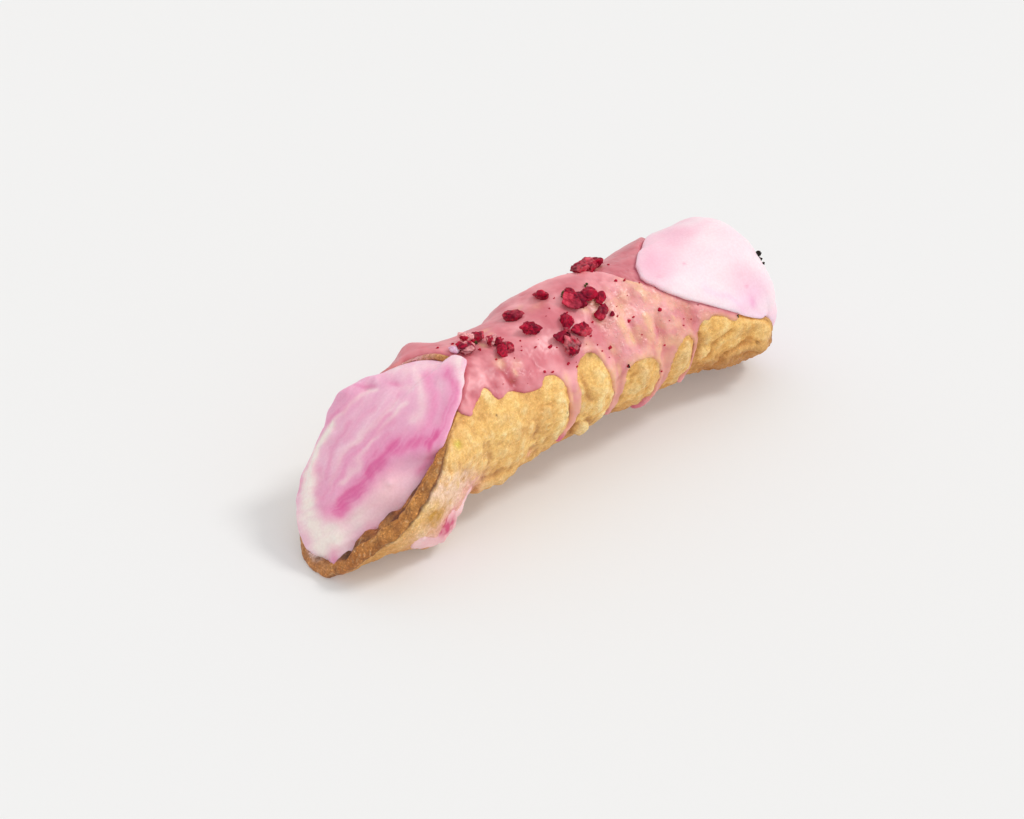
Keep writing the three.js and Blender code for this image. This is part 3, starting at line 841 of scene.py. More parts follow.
    # what the glaze is laid on: near rim from inside out, the outside, the far rim
    down = np.pi * (EDGE + 1.45) / 2
    base = dict(
        x=np.concatenate([nx[::-1], x, fx]), r=np.concatenate([nr[::-1], r, fr]),
        s=np.concatenate([n + EDGE - down * th[::-1] / np.pi, x, f - EDGE + down * th / np.pi]),
        lean=np.concatenate([-np.sin(th[::-1]) + 0 * n, 0 * x, np.sin(th) + 0 * f]),
        rise=np.concatenate([np.cos(th[::-1]) + 0 * n, 0 * x + 1, np.cos(th) + 0 * f]))
    return ob, base, k


def build_glaze(base, k):
    """The glaze, laid on the shell's own grid and closed underneath."""
    x, r, s = base["x"], base["r"], base["s"]
    a = np.broadcast_to(ANGLES[None, :], x.shape)
    depth = glaze_depth(s, a)
    high = glaze_height(x, a, r)
    for i in range(k):          # round the rims it keeps the thickness that it has beside them
        high[i] = lerp(0.45, high[k], i / k)
        high[-1 - i] = lerp(0.45, high[-1 - k], i / k)
    thick = high * rounded(depth)
    under = np.clip(-depth / 0.5, 0, 1) * 0.5
    up = np.where(depth > 0, thick, -under)
    top = place(x + base["lean"] * up, a, r + base["rise"] * up)
    low = place(x - base["lean"] * 0.62, a, r - base["rise"] * 0.62)
    rows, cols = x.shape
    i = np.arange(rows - 1)[:, None]
    j = np.arange(cols)[None, :]
    m = (j + 1) % cols
    quads = np.stack([i * cols + j, i * cols + m, (i + 1) * cols + m, (i + 1) * cols + j], -1).reshape(-1, 4)
    quads = quads[(depth > -0.45).ravel()[quads].all(1)]
    used = np.unique(quads)
    index = np.full(rows * cols, -1)
    index[used] = np.arange(len(used))
    q = index[quads]
    n = len(used)
    P = top.reshape(-1, 3)[used]
    # the edges that only one face has get a side wall
    e = np.concatenate([q[:, [0, 1]], q[:, [1, 2]], q[:, [2, 3]], q[:, [3, 0]]])
    key = e[:, 0].astype(np.int64) * n + e[:, 1]
    edge = e[~np.isin(key, e[:, 1].astype(np.int64) * n + e[:, 0])]
    sides = np.stack([edge[:, 1], edge[:, 0], edge[:, 0] + n, edge[:, 1] + n], -1)
    V = np.concatenate([P, low.reshape(-1, 3)[used]])
    X, A = s.ravel()[used], a.ravel()[used]
    thick, D = thick.ravel()[used], depth.ravel()[used]
    W = wrap(A)
    surf = (r + up)[k:-k] if k else r + up
    # the relief, which paints light on the humps and shade in the hollows of the glaze's colour below
    cav = np.zeros(x.shape)
    cav[k:-k] = surf - blur(surf, 7)
    cav = cav.ravel()[used]
    streak = N2.fbm(P * np.array([1.0, 0.45, 0.45]), 2.6, 3)
    thin = np.zeros(n)
    for tx, ta, wx, wa, st in THIN:
        thin = np.maximum(thin, st * bell(X - tx, wx) * bell_a(A, ta, wa) * (1.05 + 0.9 * streak))
    thin = np.maximum(thin, 0.9 * (1 - step(0.18, 0.40, thick)) * step(0.5, 1.3, D))
    zone = step(10, 24, X) * (1 - step(48, 60, X)) * step(8, 26, W) * (1 - step(62, 84, W))
    thin = np.maximum(thin, 0.75 * zone * step(0.10, 0.42, cav + 0.10 * streak))
    run = step(62, 80, turn(A)) * (1 - step(114, 128, turn(A))) * step(-10, -5, X)
    thin = np.maximum(thin, 0.68 * run * step(-0.10, 0.60, N1.fbm(P * np.array([1.0, 0.4, 0.4]), 2.4, 2)))
    thin = np.maximum(thin, 0.46 * run * step(78, 92, turn(A)))
    thin = np.clip(thin, 0, 1)
    # painted light and shade from the relief: lighter rose on the humps, deeper rose in the hollows
    c = mix(ROSE, ROSE_LIGHT, np.clip(0.34 + 0.60 * N1.fbm(P, 8.0, 3) + 0.45 * zone + 0.5 * cav, 0, 1))
    near = (1 - step(-22, -10, X)) * step(-10, 14, W)
    c = mix(c, ROSE_DEEP, np.clip(near * (0.42 + 0.7 * N4.fbm(P, 4.5, 3) - 0.6 * cav), 0, 0.85))
    d, strong = lap(X, A)
    c = mix(c, ROSE_DEEP, 0.42 * (1 - step(-3.5, 0.5, d)) * step(8, 20, X))
    c = mix(c, ROSE_DEEP, 0.30 * bell_a(A, -45, 30))
    c = mix(c, ROSE_DEEP, np.clip(-cav * 1.6 - 0.10, 0, 0.55))
    c = mix(c, ROSE_LIGHT, 0.40 * step(-1.2, 0.6, d) * (1 - step(1.0, 5.0, d)) * strong)
    c = mix(c, PEACH, np.clip(0.50 * zone * (1 - 0.6 * step(39, 46, X)) * (0.45 + 0.9 * N4.fbm(P, 4.0, 3)), 0, 0.6))
    c = mix(c, PEACH * 1.03, thin)
    t = turn(A)
    drip = step(82, 104, t) * (1 - step(165, 185, t))
    lean = np.clip(0.55 + 0.9 * N1.fbm(P, 5.0, 2), 0, 1) * step(60, 84, t) * (1 - step(120, 134, t)) * step(-12, -6, X)
    c = mix(c, PEACH, 0.46 * lean * (1 - step(0.9, 1.9, D) * 0.5))
    side = run * (1 - step(0.15, 1.2, D)) * np.clip(0.75 + 0.8 * N4.fbm(P, 3.0, 2), 0, 1)
    c = mix(c, srgb(244, 184, 122), 0.62 * side)
    c = mix(c, srgb(226, 120, 150), 0.28 * drip)
    c = mix(c, srgb(206, 110, 108), 0.22 * step(36, 46, X) * step(50, 66, t) * (1 - step(140, 160, t)))
    c = mix(c, srgb(208, 74, 124), 0.85 * bell(X + 6.2, 4.0) * step(110, 118, t) * (1 - step(150, 165, t)))
    c = mix(c, srgb(206, 66, 120), 0.55 * step(128, 142, t) * drip)
    ear = (1 - step(-40, -37, X)) * step(98, 106, t) * (1 - step(165, 190, t))
    pale = mix(srgb(250, 194, 200), srgb(252, 214, 214), np.clip(0.5 + 0.8 * N2(P, 3.0), 0, 1))
    pale = mix(pale, MAGENTA, 0.95 * np.clip(bell(X + 50.8, 3.2) * bell_a(A, 126.5, 4.6) * (1.25 + N1(P, 1.4)), 0, 1))
    c = mix(c, pale, ear)
    c = mix(c, srgb(206, 140, 120), 0.55 * (1 - step(0.6, 2.8, X - near_rim(A))) * (1 - step(-26, -18, W)) * step(-60, -40, W) * 0.5)
    # painted shade: a deep rose line in the crease where the far cream meets the glaze
    gap = X - np.interp(W, FAR_A, FAR_X)
    c = mix(c, srgb(170, 62, 92), 0.65 * bell(gap + 0.2, 0.9) * step(-14, -4, W) * (1 - step(78, 92, W)))
    # painted shade: reddish brown in the dip of the glaze
    pit = bell(X + 20.2, 1.0) * bell_a(A, 49.5, 4.6) + 0.6 * bell(X + 22.0, 0.8) * bell_a(A, 45, 3.0)
    c = mix(c, srgb(168, 66, 50), np.clip(pit * (0.55 + 0.8 * N1(P, 1.2)), 0, 0.65))
    grain = zone * 1.0 + 0.8 * bell(X + 19, 6.5) * bell_a(A, 46, 13)
    grain = np.clip(grain + 0.5 * step(-12, 10, X) * step(28, 44, W) * (1 - step(70, 90, W)), 0, 1)
    ob = build("glaze", to_row(V), [q, q[:, ::-1] + n, sides],
               {"tone": np.concatenate([c, c]), "grain": np.concatenate([grain, grain])})
    return ob


# ------------------------------------------------------------------ cream ---
CREAM_A = np.linspace(-180, 180, 260, endpoint=False)

FAR_SKIN = np.zeros((70 * 130, 3))    # filled in by build_cream

# Where the cream ends on the near lip, in mm behind the rim, and how far it is
# smeared back over the rim and onto the glaze on top.
LIP_A = np.array([60, 72, 84, 100, 120, 134, 142, 147, 151, 155, 159, 164, 172, 181, 196, 206, 216, 360.0])
LIP_IN = np.array([0.3, 2.8, 5.4, 7.2, 7.8, 6.9, 6.0, 4.4, 2.4, 0.9, 1.3, 2.6, 3.0, 2.5, 1.6, 0.9, 0.2, 0.0])
LEAN_A = np.array([0, 210, 216, 222, 230, 240, 250, 258, 266, 272, 278, 284, 290, 300, 310, 360.0])
LEAN = np.array([0, 0, 0.4, 1.6, 3.4, 5.4, 6.0, 5.6, 4.7, 3.8, 4.3, 5.0, 4.4, 3.2, 2.9, 2.9])
BACK_A = np.array([3, 6.0, 8, 12, 15, 17, 19, 22, 26, 35, 44, 54, 62, 69, 76.0])
BACK_X = np.array([-30.8, -30.4, -29.9, -29.2, -28.9, -28.8, -29.5, -30.9, -32.7, -35.5, -39.2, -43.8, -47.7, -51.1, -54.0])
# Where the cream of the far end begins, on top and down the front side.
FAR_A = np.array([-60, -20, -10, -1, 8, 21, 28, 37, 44, 54, 64.5, 77.5, 86, 93.5, 98, 103, 112])
FAR_X = np.array([60, 51.0, 46.6, 42.4, 38.6, 35.9, 36.2, 38.0, 40.8, 45.6, 51.4, 58.8, 63.8, 69.0, 71.8, 74.4, 77.0])


def split_rim(v, a):
    m = v.mean()
    tilt = 2 * (v * np.cos(rad(a))).mean() * np.cos(rad(a)) + 2 * (v * np.sin(rad(a))).mean() * np.sin(rad(a))
    return m, tilt, v - m - tilt


def cream_face(edge_x, edge_r, pole_x, bulge, power, rows, a):
    """A bulging face over an uneven rim: rings from beside the pole to the rim."""
    m, tilt, rest = split_rim(edge_x, a)
    mean_r = edge_r.mean()
    q = (np.sin(np.arange(1, rows + 1) / rows * np.pi / 2) ** 0.9)[:, None]
    x = (pole_x + bulge + (m - pole_x - bulge) * q * q + tilt * q + rest * q ** 3
         - bulge * np.clip(1 - q * q, 0, None) ** power)
    return x, q * (mean_r + (edge_r - mean_r) * q ** 3)


# The seen plane of the filling: u to the right and v up, in mm, as somebody
# looking into the near mouth sees it.
EYE = np.array([-461.89, -479.66, 450.71])
RIGHT = np.array([0.72537, -0.68835, 0.0])
AHEAD = np.array([0.57533, 0.60627, -0.54902])
UP = np.cross(RIGHT, AHEAD)


def seen(p):
    d = p - EYE
    depth = d @ AHEAD
    return 34.92 + 752.5 * (d @ RIGHT) / depth, 13.36 + 752.5 * (d @ UP) / depth


def stroke(u, v, pts, w):
    """How near each point is to a swept line, 0 to 1."""
    pts = smooth_line(pts, 4)
    best = np.full(u.shape, 1e9)
    for (x0, y0), (x1, y1) in zip(pts[:-1], pts[1:]):
        dx, dy = x1 - x0, y1 - y0
        t = np.clip(((u - x0) * dx + (v - y0) * dy) / (dx * dx + dy * dy + 1e-9), 0, 1)
        best = np.minimum(best, (u - x0 - t * dx) ** 2 + (v - y0 - t * dy) ** 2)
    return np.exp(-best / (w * w))


def patch(u, v, cu, cv, ru, rv, turned=0.0):
    """A soft oval patch, 0 to 1."""
    c, s = math.cos(math.radians(turned)), math.sin(math.radians(turned))
    du, dv = u - cu, v - cv
    return np.exp(-(((c * du + s * dv) / ru) ** 2) - (((c * dv - s * du) / rv) ** 2))


def sweep(u, v):
    """Across and along the knife's sweeps over the near face, mm."""
    along = 0.66 * u + 0.75 * v
    return 0.75 * u - 0.66 * v + 0.010 * along * along, along


def sweep_noise(noise, u, v, width, length, seed=0.0):
    across, along = sweep(u, v)
    return noise(np.stack([across / width + seed, along / length, 0 * u + seed], -1), 1.0)


def near_relief(p):
    """How far the near face stands out from its smooth form, mm."""
    u, v = seen(p)
    z = 0 * u
    q = np.stack([u, v, z], -1)
    h = 0.40 * N1.fbm(q, 15.0, 2)
    h = h + 0.24 * sweep_noise(N2, u, v, 3.2, 26.0) + 0.09 * sweep_noise(N3, u, v, 1.3, 15.0, 3.0)
    h = h + 0.9 * patch(u, v, 4, -6, 9, 6.5, 40) + 0.55 * patch(u, v, 1.9, -8.4, 3.6, 4.0)
    h = h + 0.55 * patch(u, v, 2.9, -6.3, 0.9, 0.9) - 0.35 * patch(u, v, 0.4, -6.0, 1.2, 2.2)
    h = h - 0.30 * stroke(u, v, [(-11.5, -12), (-4, -4), (1, 1.5), (6, 4.5), (13, 5.5)], 2.8)
    h = h + 0.5 * stroke(u, v, [(-13, -3), (-7, 6), (2, 12), (10, 16)], 2.6)
    h = h + 0.9 * stroke(u, v, [(-12.6, 17.2), (-8.5, 18.0), (-4.6, 20.6), (-1.4, 21.2)], 1.3)
    h = h - 0.8 * patch(u, v, -3.4, 19.0, 2.6, 0.9, 10) - 0.5 * patch(u, v, 3.4, 20.4, 1.6, 1.4)
    h = h + 0.7 * patch(u, v, 6.5, 23.5, 4.5, 2.2, 15) + 0.6 * patch(u, v, -0.6, 23.0, 2.0, 1.2)
    h = h - 0.5 * stroke(u, v, [(-20.6, -8), (-18.3, 0.5), (-13.6, 9)], 0.9)
    h = h + 0.5 * stroke(u, v, [(-19.2, -10), (-17.2, 0), (-13.0, 7)], 1.1)
    h = h + 0.45 * patch(u, v, 12.5, -1.5, 3.0, 4.0, 30) - 0.4 * stroke(u, v, [(14.5, 20.5), (16.2, 15.5), (14.0, 10.0)], 1.6)
    return h


CREAM_PINK = srgb(238, 176, 204)
CREAM_PALE = srgb(246, 200, 217)
CREAM_WHITE = srgb(254, 238, 230)
CREAM_HOT = srgb(220, 84, 148)
CREAM_MID = srgb(232, 132, 180)
FAR_WHITE = srgb(253, 228, 234)
FAR_PINK = srgb(248, 190, 209)
FAR_LILAC = srgb(250, 200, 226)


def most(w, u, v, strokes, patches=()):
    """The strongest of a list of strokes (strength, points, half-width) and patches."""
    for s, pts, half in strokes:
        w = np.maximum(w, s * stroke(u, v, pts, half))
    for s, *rest in patches:
        w = np.maximum(w, s * patch(u, v, *rest))
    return w


def near_tone(p):
    u, v = seen(p)
    q = np.stack([u, v, 0 * u], -1)
    wu = u + 1.3 * N1.fbm(q, 9.0, 2) + 0.5 * N3(q, 2.6)
    wv = v + 1.3 * N2.fbm(q, 9.0, 2) + 0.5 * N4(q, 2.6)
    fine = sweep_noise(N1, wu, wv, 2.0, 22.0)
    finer = sweep_noise(N4, wu, wv, 0.8, 12.0, 5.0)
    thread = sweep_noise(N3, wu, wv, 0.40, 11.0, 7.0)
    big = sweep_noise(N2, wu, wv, 5.5, 30.0, 9.0)
    c = mix(CREAM_PINK, CREAM_PALE, np.clip(0.34 + 0.55 * fine + 0.35 * big + 0.35 * finer + 0.22 * thread, 0, 1))
    # white swept down the left and along the bottom, and a little on top
    w = most(0 * u, wu, wv, [
        (0.90, [(-12.0, 9.4), (-13.6, 6.6), (-15.3, 3.7), (-17.2, 0.8), (-18.6, -2.4), (-19.4, -6.5)], 0.9),
        (0.92, [(-18.8, -4.5), (-18.6, -8.5), (-18.2, -12.5), (-17.3, -16.5)], 2.3),
        (1.00, [(-18.4, -15.5), (-16.6, -19.5), (-14.2, -23.0)], 3.4),
        (0.55, [(22.2, 23.4), (22.0, 19.8), (21.0, 16.5)], 1.0),
        (0.42, [(10.0, 21.8), (11.2, 17.5), (10.9, 13.5), (8.4, 10.4)], 1.4),
        (0.45, [(-14.0, 5.6), (-12.6, 8.2), (-10.7, 11.0), (-6.2, 15.9), (-1.4, 18.2)], 0.6),
        (0.40, [(-9.4, -5.8), (-6.8, -2.4), (-4.2, 2.0), (-0.2, 7.6), (3.3, 11.4), (6.4, 15.0)], 0.7),
        (0.34, [(-12.6, -5.4), (-9.6, 0.8), (-5.0, 6.5), (0.2, 11.0), (3.8, 15.0)], 0.9),
        (0.45, [(2.2, 10.6), (3.4, 11.4), (4.6, 12.6)], 0.4), (0.40, [(-0.8, 7.4), (0.6, 8.8)], 0.4),
    ], [
        (1.00, -13.0, -20.4, 5.4, 5.2, 10), (0.70, -6.8, -15.6, 6.0, 3.4, 30), (0.35, -1.5, -15.0, 4.5, 2.6, 30),
        (0.60, 20.8, 26.0, 2.4, 2.8), (0.42, 7.9, 23.3, 2.6, 1.5, 10), (0.36, 12.8, 24.9, 4.4, 1.2, 8),
        (0.30, 6.6, 19.6, 1.8, 1.2), (0.40, 4.4, 24.0, 2.4, 1.0, 15),
    ])
    c = mix(c, CREAM_WHITE, np.clip(w * (1.0 + 0.26 * fine + 0.08 * finer), 0, 1))
    # painted light: a pale pink patch and a light rose band on the lower right, the cream's own pink made brighter
    # against the shade there
    c = mix(c, srgb(255, 208, 212), 0.88 * patch(wu, wv, 1.6, -8.4, 7.6, 5.0, 42))
    rose = most(0 * u, wu, wv, [(0.70, [(-6.0, -21.2), (-2.6, -19.0), (2.6, -14.8), (7.0, -9.0), (10.8, -3.8)], 2.4)])
    c = mix(c, srgb(252, 204, 217), np.clip(rose, 0, 1))
    # deeper pink outside the white, at the left edge and the top left
    m = most(0 * u, wu, wv, [
        (0.60, [(-21.6, -8.0), (-20.9, -4.4), (-18.9, 1.0), (-14.9, 8.2), (-11.0, 12.6)], 0.8),
        (0.34, [(-16.4, -2.5), (-15.6, -8.5), (-14.6, -13.0)], 1.5),
        (0.62, [(-6.4, 19.8), (-3.6, 19.2), (-1.7, 19.5)], 0.6),
        (0.42, [(-14.5, -4.5), (-12, 3), (-7.5, 10)], 0.7),
        (0.22, [(-6.5, -21.4), (-4.2, -19.6), (0.2, -16.6)], 1.0),
        (0.38, [(-2.0, 7.6), (-0.3, 9.2), (1.8, 11.2)], 0.9),
        (0.30, [(-10.0, 4.5), (-6.5, 9.0), (-2.0, 13.5)], 0.6),
        (0.26, [(-7.5, 2.0), (-3.5, 7.2), (1.5, 12.8), (4.6, 17.0)], 0.5),
    ], [(0.32, -9.0, 14.6, 5.0, 3.2, 40), (0.60, 2.9, 20.5, 2.0, 1.1)])
    c = mix(c, CREAM_MID, np.clip(m * (1 + 0.5 * fine), 0, 1))
    # the hot streak through the middle and up the right side
    h = most(0 * u, wu, wv, [
        (0.72, [(-11.6, -13.2), (-9.4, -10.4), (-6.0, -7.2), (-3.0, -3.0), (0.4, 0.2), (4.2, 3.8), (9.2, 4.8), (13.4, 6.2)], 2.8),
        (0.60, [(17.8, 22.9), (19.8, 19.8), (18.9, 15.3), (17.8, 11.0), (15.8, 7.2)], 1.9),
        (0.46, [(12.4, 22.4), (14.0, 16.5), (13.4, 11.5), (10.4, 7.6)], 1.6),
        (0.52, [(17.6, 13.0), (16.2, 8.0), (14.2, 2.0), (11.5, -2.5)], 2.2),
        (0.40, [(-8.0, -6.0), (-3.2, 1.2), (2.0, 6.6)], 1.2),
        (0.36, [(-12.5, -9.0), (-8.6, -2.0), (-4.0, 4.5), (3.0, 9.6)], 0.9),
        (0.30, [(-14.4, -9.5), (-11.6, -3.5), (-7.0, 3.0)], 0.8),
    ], [
        (0.95, 4.0, 3.4, 4.6, 2.9, 28), (0.95, 12.8, 4.6, 2.8, 3.0, 20), (0.98, 14.6, 6.4, 3.0, 3.4),
        (0.90, -0.4, -0.6, 4.8, 3.6, 45), (1.00, -2.9, -3.2, 3.6, 3.1, 48), (0.82, -6.4, -8.0, 4.0, 2.6, 42),
        (0.95, -10.2, -11.8, 3.4, 2.2, 40),
    ])
    # one clean pale line where the knife lifted
    h = h * (1 - 0.50 * stroke(wu, wv, [(-12.1, -9.6), (-9.4, -6.0), (-6.6, -2.6), (-4.8, 0.2)], 0.65))
    h = h * np.clip(0.90 + 0.30 * fine + 0.34 * finer + 0.16 * thread, 0.2, 1.2)
    c = mix(c, CREAM_MID, np.clip(1.35 * h, 0, 1))
    c = mix(c, CREAM_HOT, np.clip(1.25 * (h - 0.45), 0, 0.9))
    # tiny flecks of colour that didn't blend in
    fleck = step(0.62, 0.9, N3(q, 0.55)) * np.clip(0.25 + h, 0, 1)
    c = mix(c, CREAM_HOT, 0.30 * fleck)
    # the drip at the lowest point of the lip
    c = mix(c, srgb(226, 140, 176), 0.85 * patch(u, v, -12.2, -27.2, 1.6, 3.4))
    c = mix(c, srgb(226, 160, 190), 0.5 * patch(u, v, -20.0, -21.0, 2.2, 2.4))
    return c


def far_tone(p):
    u, v = seen(p)
    q = np.stack([u, v, 0 * u], -1)
    wu = u + 1.6 * N1.fbm(q, 8.0, 2)
    wv = v + 1.6 * N2.fbm(q, 8.0, 2)
    n = N3.fbm(p, 13.0, 2)
    c = mix(FAR_WHITE, FAR_PINK, np.clip(0.22 + 0.55 * n, 0, 0.75))
    k = 0.75 * patch(wu, wv, 78.5, 59.5, 7.5, 2.6, 18)
    k = np.maximum(k, 1.0 * patch(wu, wv, 71.8, 52.6, 4.4, 6.4))
    k = np.maximum(k, 0.4 * patch(wu, wv, 84.0, 62.5, 5.0, 2.0, 15))
    c = mix(c, FAR_PINK, k)
    k = 0.62 * patch(wu, wv, 97.0, 42.5, 4.8, 6.0, -30)
    k = np.maximum(k, 0.7 * stroke(wu, wv, [(86, 46), (92.5, 43), (96.5, 39.0)], 1.3))
    k = np.maximum(k, 0.8 * patch(wu, wv, 101.5, 36.0, 5.0, 4.0))
    c = mix(c, FAR_LILAC, k)
    c = mix(c, FAR_WHITE, 0.8 * patch(wu, wv, 88.5, 50.0, 7.0, 7.0, 20))
    c = mix(c, srgb(236, 150, 200), 0.5 * patch(u, v, 98.6, 41.6, 0.8, 1.6, 10))
    for fu, fv in ((73.8, 48.6), (80.5, 52.0), (97.0, 46.0)):
        c = mix(c, srgb(232, 130, 170), 0.5 * patch(u, v, fu, fv, 0.4, 0.4))
    return c


def grid_normals(p):
    du = np.gradient(p, axis=0)
    dv = np.roll(p, -1, 1) - np.roll(p, 1, 1)
    n = np.cross(dv, du)
    return n / (np.linalg.norm(n, axis=-1, keepdims=True) + 1e-9)


def build_cream():
    a = CREAM_A
    t, w = turn(a), wrap(a)
    n, f = near_rim(a), far_rim(a)
    xs, rs = [], []

    def roll(xx, rr):
        xs.append(np.atleast_2d(xx))
        rs.append(np.atleast_2d(rr))

    # ---- near end: inside the rim, smeared over it on top, leaning out at the back
    over = step(3.6, 7.6, w) * (1 - step(60, 76, w))
    hang = step(210, 226, t) * (1 - step(306, 322, t))
    lean = np.interp(t, LEAN_A, LEAN)
    free = 1 - over - hang
    inside = np.interp(t, LIP_A, LIP_IN)
    lip = step(60, 84, t) * (1 - step(202, 226, t))
    top_lip = step(-48, -30, w) * (1 - step(4, 9, w))
    in_x = n + inside - 1.5 * (1 - lip)
    in_r = form(np.maximum(in_x, n), a) - WALL - fold_in(np.maximum(in_x, n), a) + 0.45 + 0.15 * top_lip
    in_r = in_r + 0.5 * step(148, 166, t) * (1 - step(206, 222, t))
    back = np.interp(w, BACK_A, BACK_X)
    back = back + 0.35 * N3(np.stack([back, a * 0.36, 0 * a], -1), 3.0)
    top = skin(back, a) + 0.1
    lean_x, lean_r = n - lean, np.minimum(smooth_outer(n, a), 21.4) - 0.3
    side = skin(n + 1.2, a) + 0.1

    def three(i, o, h):
        return i * free + o * over + h * hang

    edge_x = three(in_x, back - 0.7, lean_x)
    edge_r = three(in_r, top + 0.62, lean_r)
    soft = 0.6 + 0.5 * step(60, 92, t) * (1 - step(146, 176, t))
    x, r = cream_face(edge_x, edge_r, -66.0, 13.0, soft, 88, a)
    roll(x, r)
    for i, (ox, orr, hx, hr) in enumerate((
            (-0.45, 0.60, 0.87, 0.55), (-0.22, 0.50, 0.68, 0.90), (-0.04, 0.34, 0.46, 1.00),
            (0.08, 0.12, 0.24, 0.92), (0.12, -0.15, 0.02, 0.70), (0.08, -0.50, -0.10, 0.25), (-0.20, -1.0, -0.12, -0.40))):
        hang_r = side + hr if i > 1 else lerp(lean_r, side + hr, (i + 1) / 3)
        hang_x = n + 0.9 - (lean + 0.9) * np.clip(hx, 0, 1) + 0.3 * (hx < 0)
        roll(three(in_x + 0.14 * (i + 1), back + ox, hang_x), three(in_r, top + orr, hang_r))
    start = three(in_x + 1.1, n + 1.2, n + 1.2)
    roll(start, three(in_r, skin(n + 1.5, a) - sunk(n, a) - 1.5, side - 1.6))
    start = start + 0.15
    roll(start, form(np.maximum(start, n + 1), a) - WALL - fold_in(np.maximum(start, n + 1), a) + 0.45)
    near_rows = sum(len(q) for q in xs)
    # ---- the log inside the tube
    fx = np.interp(w, FAR_A, FAR_X)
    fx = fx + 0.30 * N2(np.stack([np.cos(rad(a)) * 20, np.sin(rad(a)) * 20, 0 * a], -1), 6.0)
    lap_on = step(-13, -3, w) * (1 - step(86, 112, w))          # lies over the glaze
    end_x = lerp(71.2, 77.3, step(35, 125, np.abs(w))) - 0.9 * bell_a(a, 98, 16)
    swell = step(-1.0, 4.0, end_x - f)                          # stands out beyond the rim
    stop = np.minimum(np.minimum(f - 1.2, end_x - 1.5), lerp(200.0, fx + 1.5, lap_on))
    for q in np.linspace(0, 1, 18)[1:]:
        xx = lerp(start, stop, q)
        roll(xx, form(xx, a) - WALL - fold_in(xx, a) + 0.45)
    bore = form(stop, a) - WALL + 0.45
    cover = skin(np.minimum(fx, f), a) + 0.1
    fat = 19.7
    for i, (lx, lr, sx, sr) in enumerate((
            (0.60, -1.3, -0.55, 0.00), (0.12, -0.40, 0.10, 0.02), (-0.04, 0.05, 0.45, 0.12), (-0.06, 0.35, 0.70, 0.34),
            (0.06, 0.62, 1.00, 0.56), (0.35, 0.84, 1.40, 0.75), (0.85, 0.98, 1.90, 0.88), (1.6, 1.04, 2.60, 0.96), (2.6, 1.02, 3.4, 1.0))):
        slim = 1 - 0.6 * step(70, 94, w) * (lx > 0) 
        out_x = lerp(f + sx * slim, fx + lx * slim, lap_on)
        out_r = lerp(lerp(bore, fat, sr), cover + lr * slim, lap_on)
        roll(lerp(stop + 0.10 * (i + 1), out_x, swell), lerp(bore, out_r, swell))
    last_x, last_r = xs[-1][0], rs[-1][0]
    end_r = lerp(bore, fat, swell) + 1.6 * bell_a(a, 88, 22)
    end_x = np.maximum(end_x, last_x + 0.4)
    for q in np.linspace(0.035, 1, 32):
        roll(lerp(last_x, end_x, q), lerp(last_r, end_r, lerp(step(0, 0.6, q), q, step(66, 84, w) * (1 - step(112, 130, w)))))
    x, r = cream_face(-(end_x + 0.25), end_r, -86.4, 13.0, 0.5, 58, a)
    roll(-x[::-1], r[::-1])
    X, R = np.concatenate(xs), np.concatenate(rs)
    A = np.broadcast_to(a, X.shape)
    P = place(X, A, R)
    rows, m = X.shape
    # relief: swept ridges on the near face, soft swells on the far end
    N = grid_normals(P)
    k = np.arange(rows)[:, None]
    h = near_relief(P) * (1 - step(66, 88, k))
    h = h + 0.16 * N4.fbm(P, 4.5, 2) * step(50, 80, k) * (1 - step(near_rows - 6, near_rows, k))
    h = h + step(rows - 92, rows - 78, k) * (0.5 * N1.fbm(P + 9, 17.0, 2) + 0.10 * N2.fbm(P, 4.5, 2))
    P = P + N * h[..., None]
    P[..., 2] = np.maximum(P[..., 2], 0.0)
    FAR_SKIN[:] = P[rows - 70:, ::2].reshape(-1, 3)[:len(FAR_SKIN)]
    poles = np.stack([P[0].mean(0), P[-1].mean(0)])
    V = np.concatenate([P.reshape(-1, 3), poles])
    j = np.arange(m)
    jj = (j + 1) % m
    e = (rows - 1) * m
    caps = np.concatenate([np.stack([np.full(m, rows * m), jj, j], -1),
                           np.stack([np.full(m, rows * m + 1), e + j, e + jj], -1)])
    near, far = near_tone(V), far_tone(V)
    tone = mix(near, far, step(-6, 6, V[:, 0]))
    faces = [ring_faces(rows, m, False), caps]
    # a dab pushed up onto the glaze beside the corner of the near face
    dab = BALLS[4]
    D = dab[0] * np.array([1.2, 1.6, 0.7])
    D = D * (1 + 0.22 * N3.fbm(dab[0] * 3 + 5, 1.6, 2))[:, None]
    D = D @ frame_at(2.4).T + place(-28.9, 2.4, skin(-28.9, 2.4) + 0.6)
    faces.append(outward(D, dab[1]) + len(V))
    V = np.concatenate([V, D])
    tone = np.concatenate([tone, mix(srgb(232, 200, 222), srgb(214, 150, 182), np.clip(0.4 + 0.8 * N1(D, 1.5), 0, 1))])
    return build("cream_fill", to_row(V), faces, {"tone": tone})


# ---------------------------------------------------------- fruit crumbs ---
def ball(subdiv):
    """Points and triangles of a ball of radius 1."""
    bm = bmesh.new()
    bmesh.ops.create_icosphere(bm, subdivisions=subdiv, radius=1.0)
    v = np.array([x.co for x in bm.verts], float)
    t = np.array([[x.index for x in f.verts] for f in bm.faces], np.int32)
    bm.free()
    return v / np.linalg.norm(v, axis=1)[:, None], t


def frame_at(a):
    """Columns: along the tube, round it, and straight out, at an angle."""
    return np.stack([np.array([1.0, 0, 0]), np.array([0, -math.cos(math.radians(a)), -math.sin(math.radians(a))]),
                     np.array([0, -math.sin(math.radians(a)), math.cos(math.radians(a))])], -1)


BALLS = {k: ball(k) for k in (2, 3, 4, 5)}


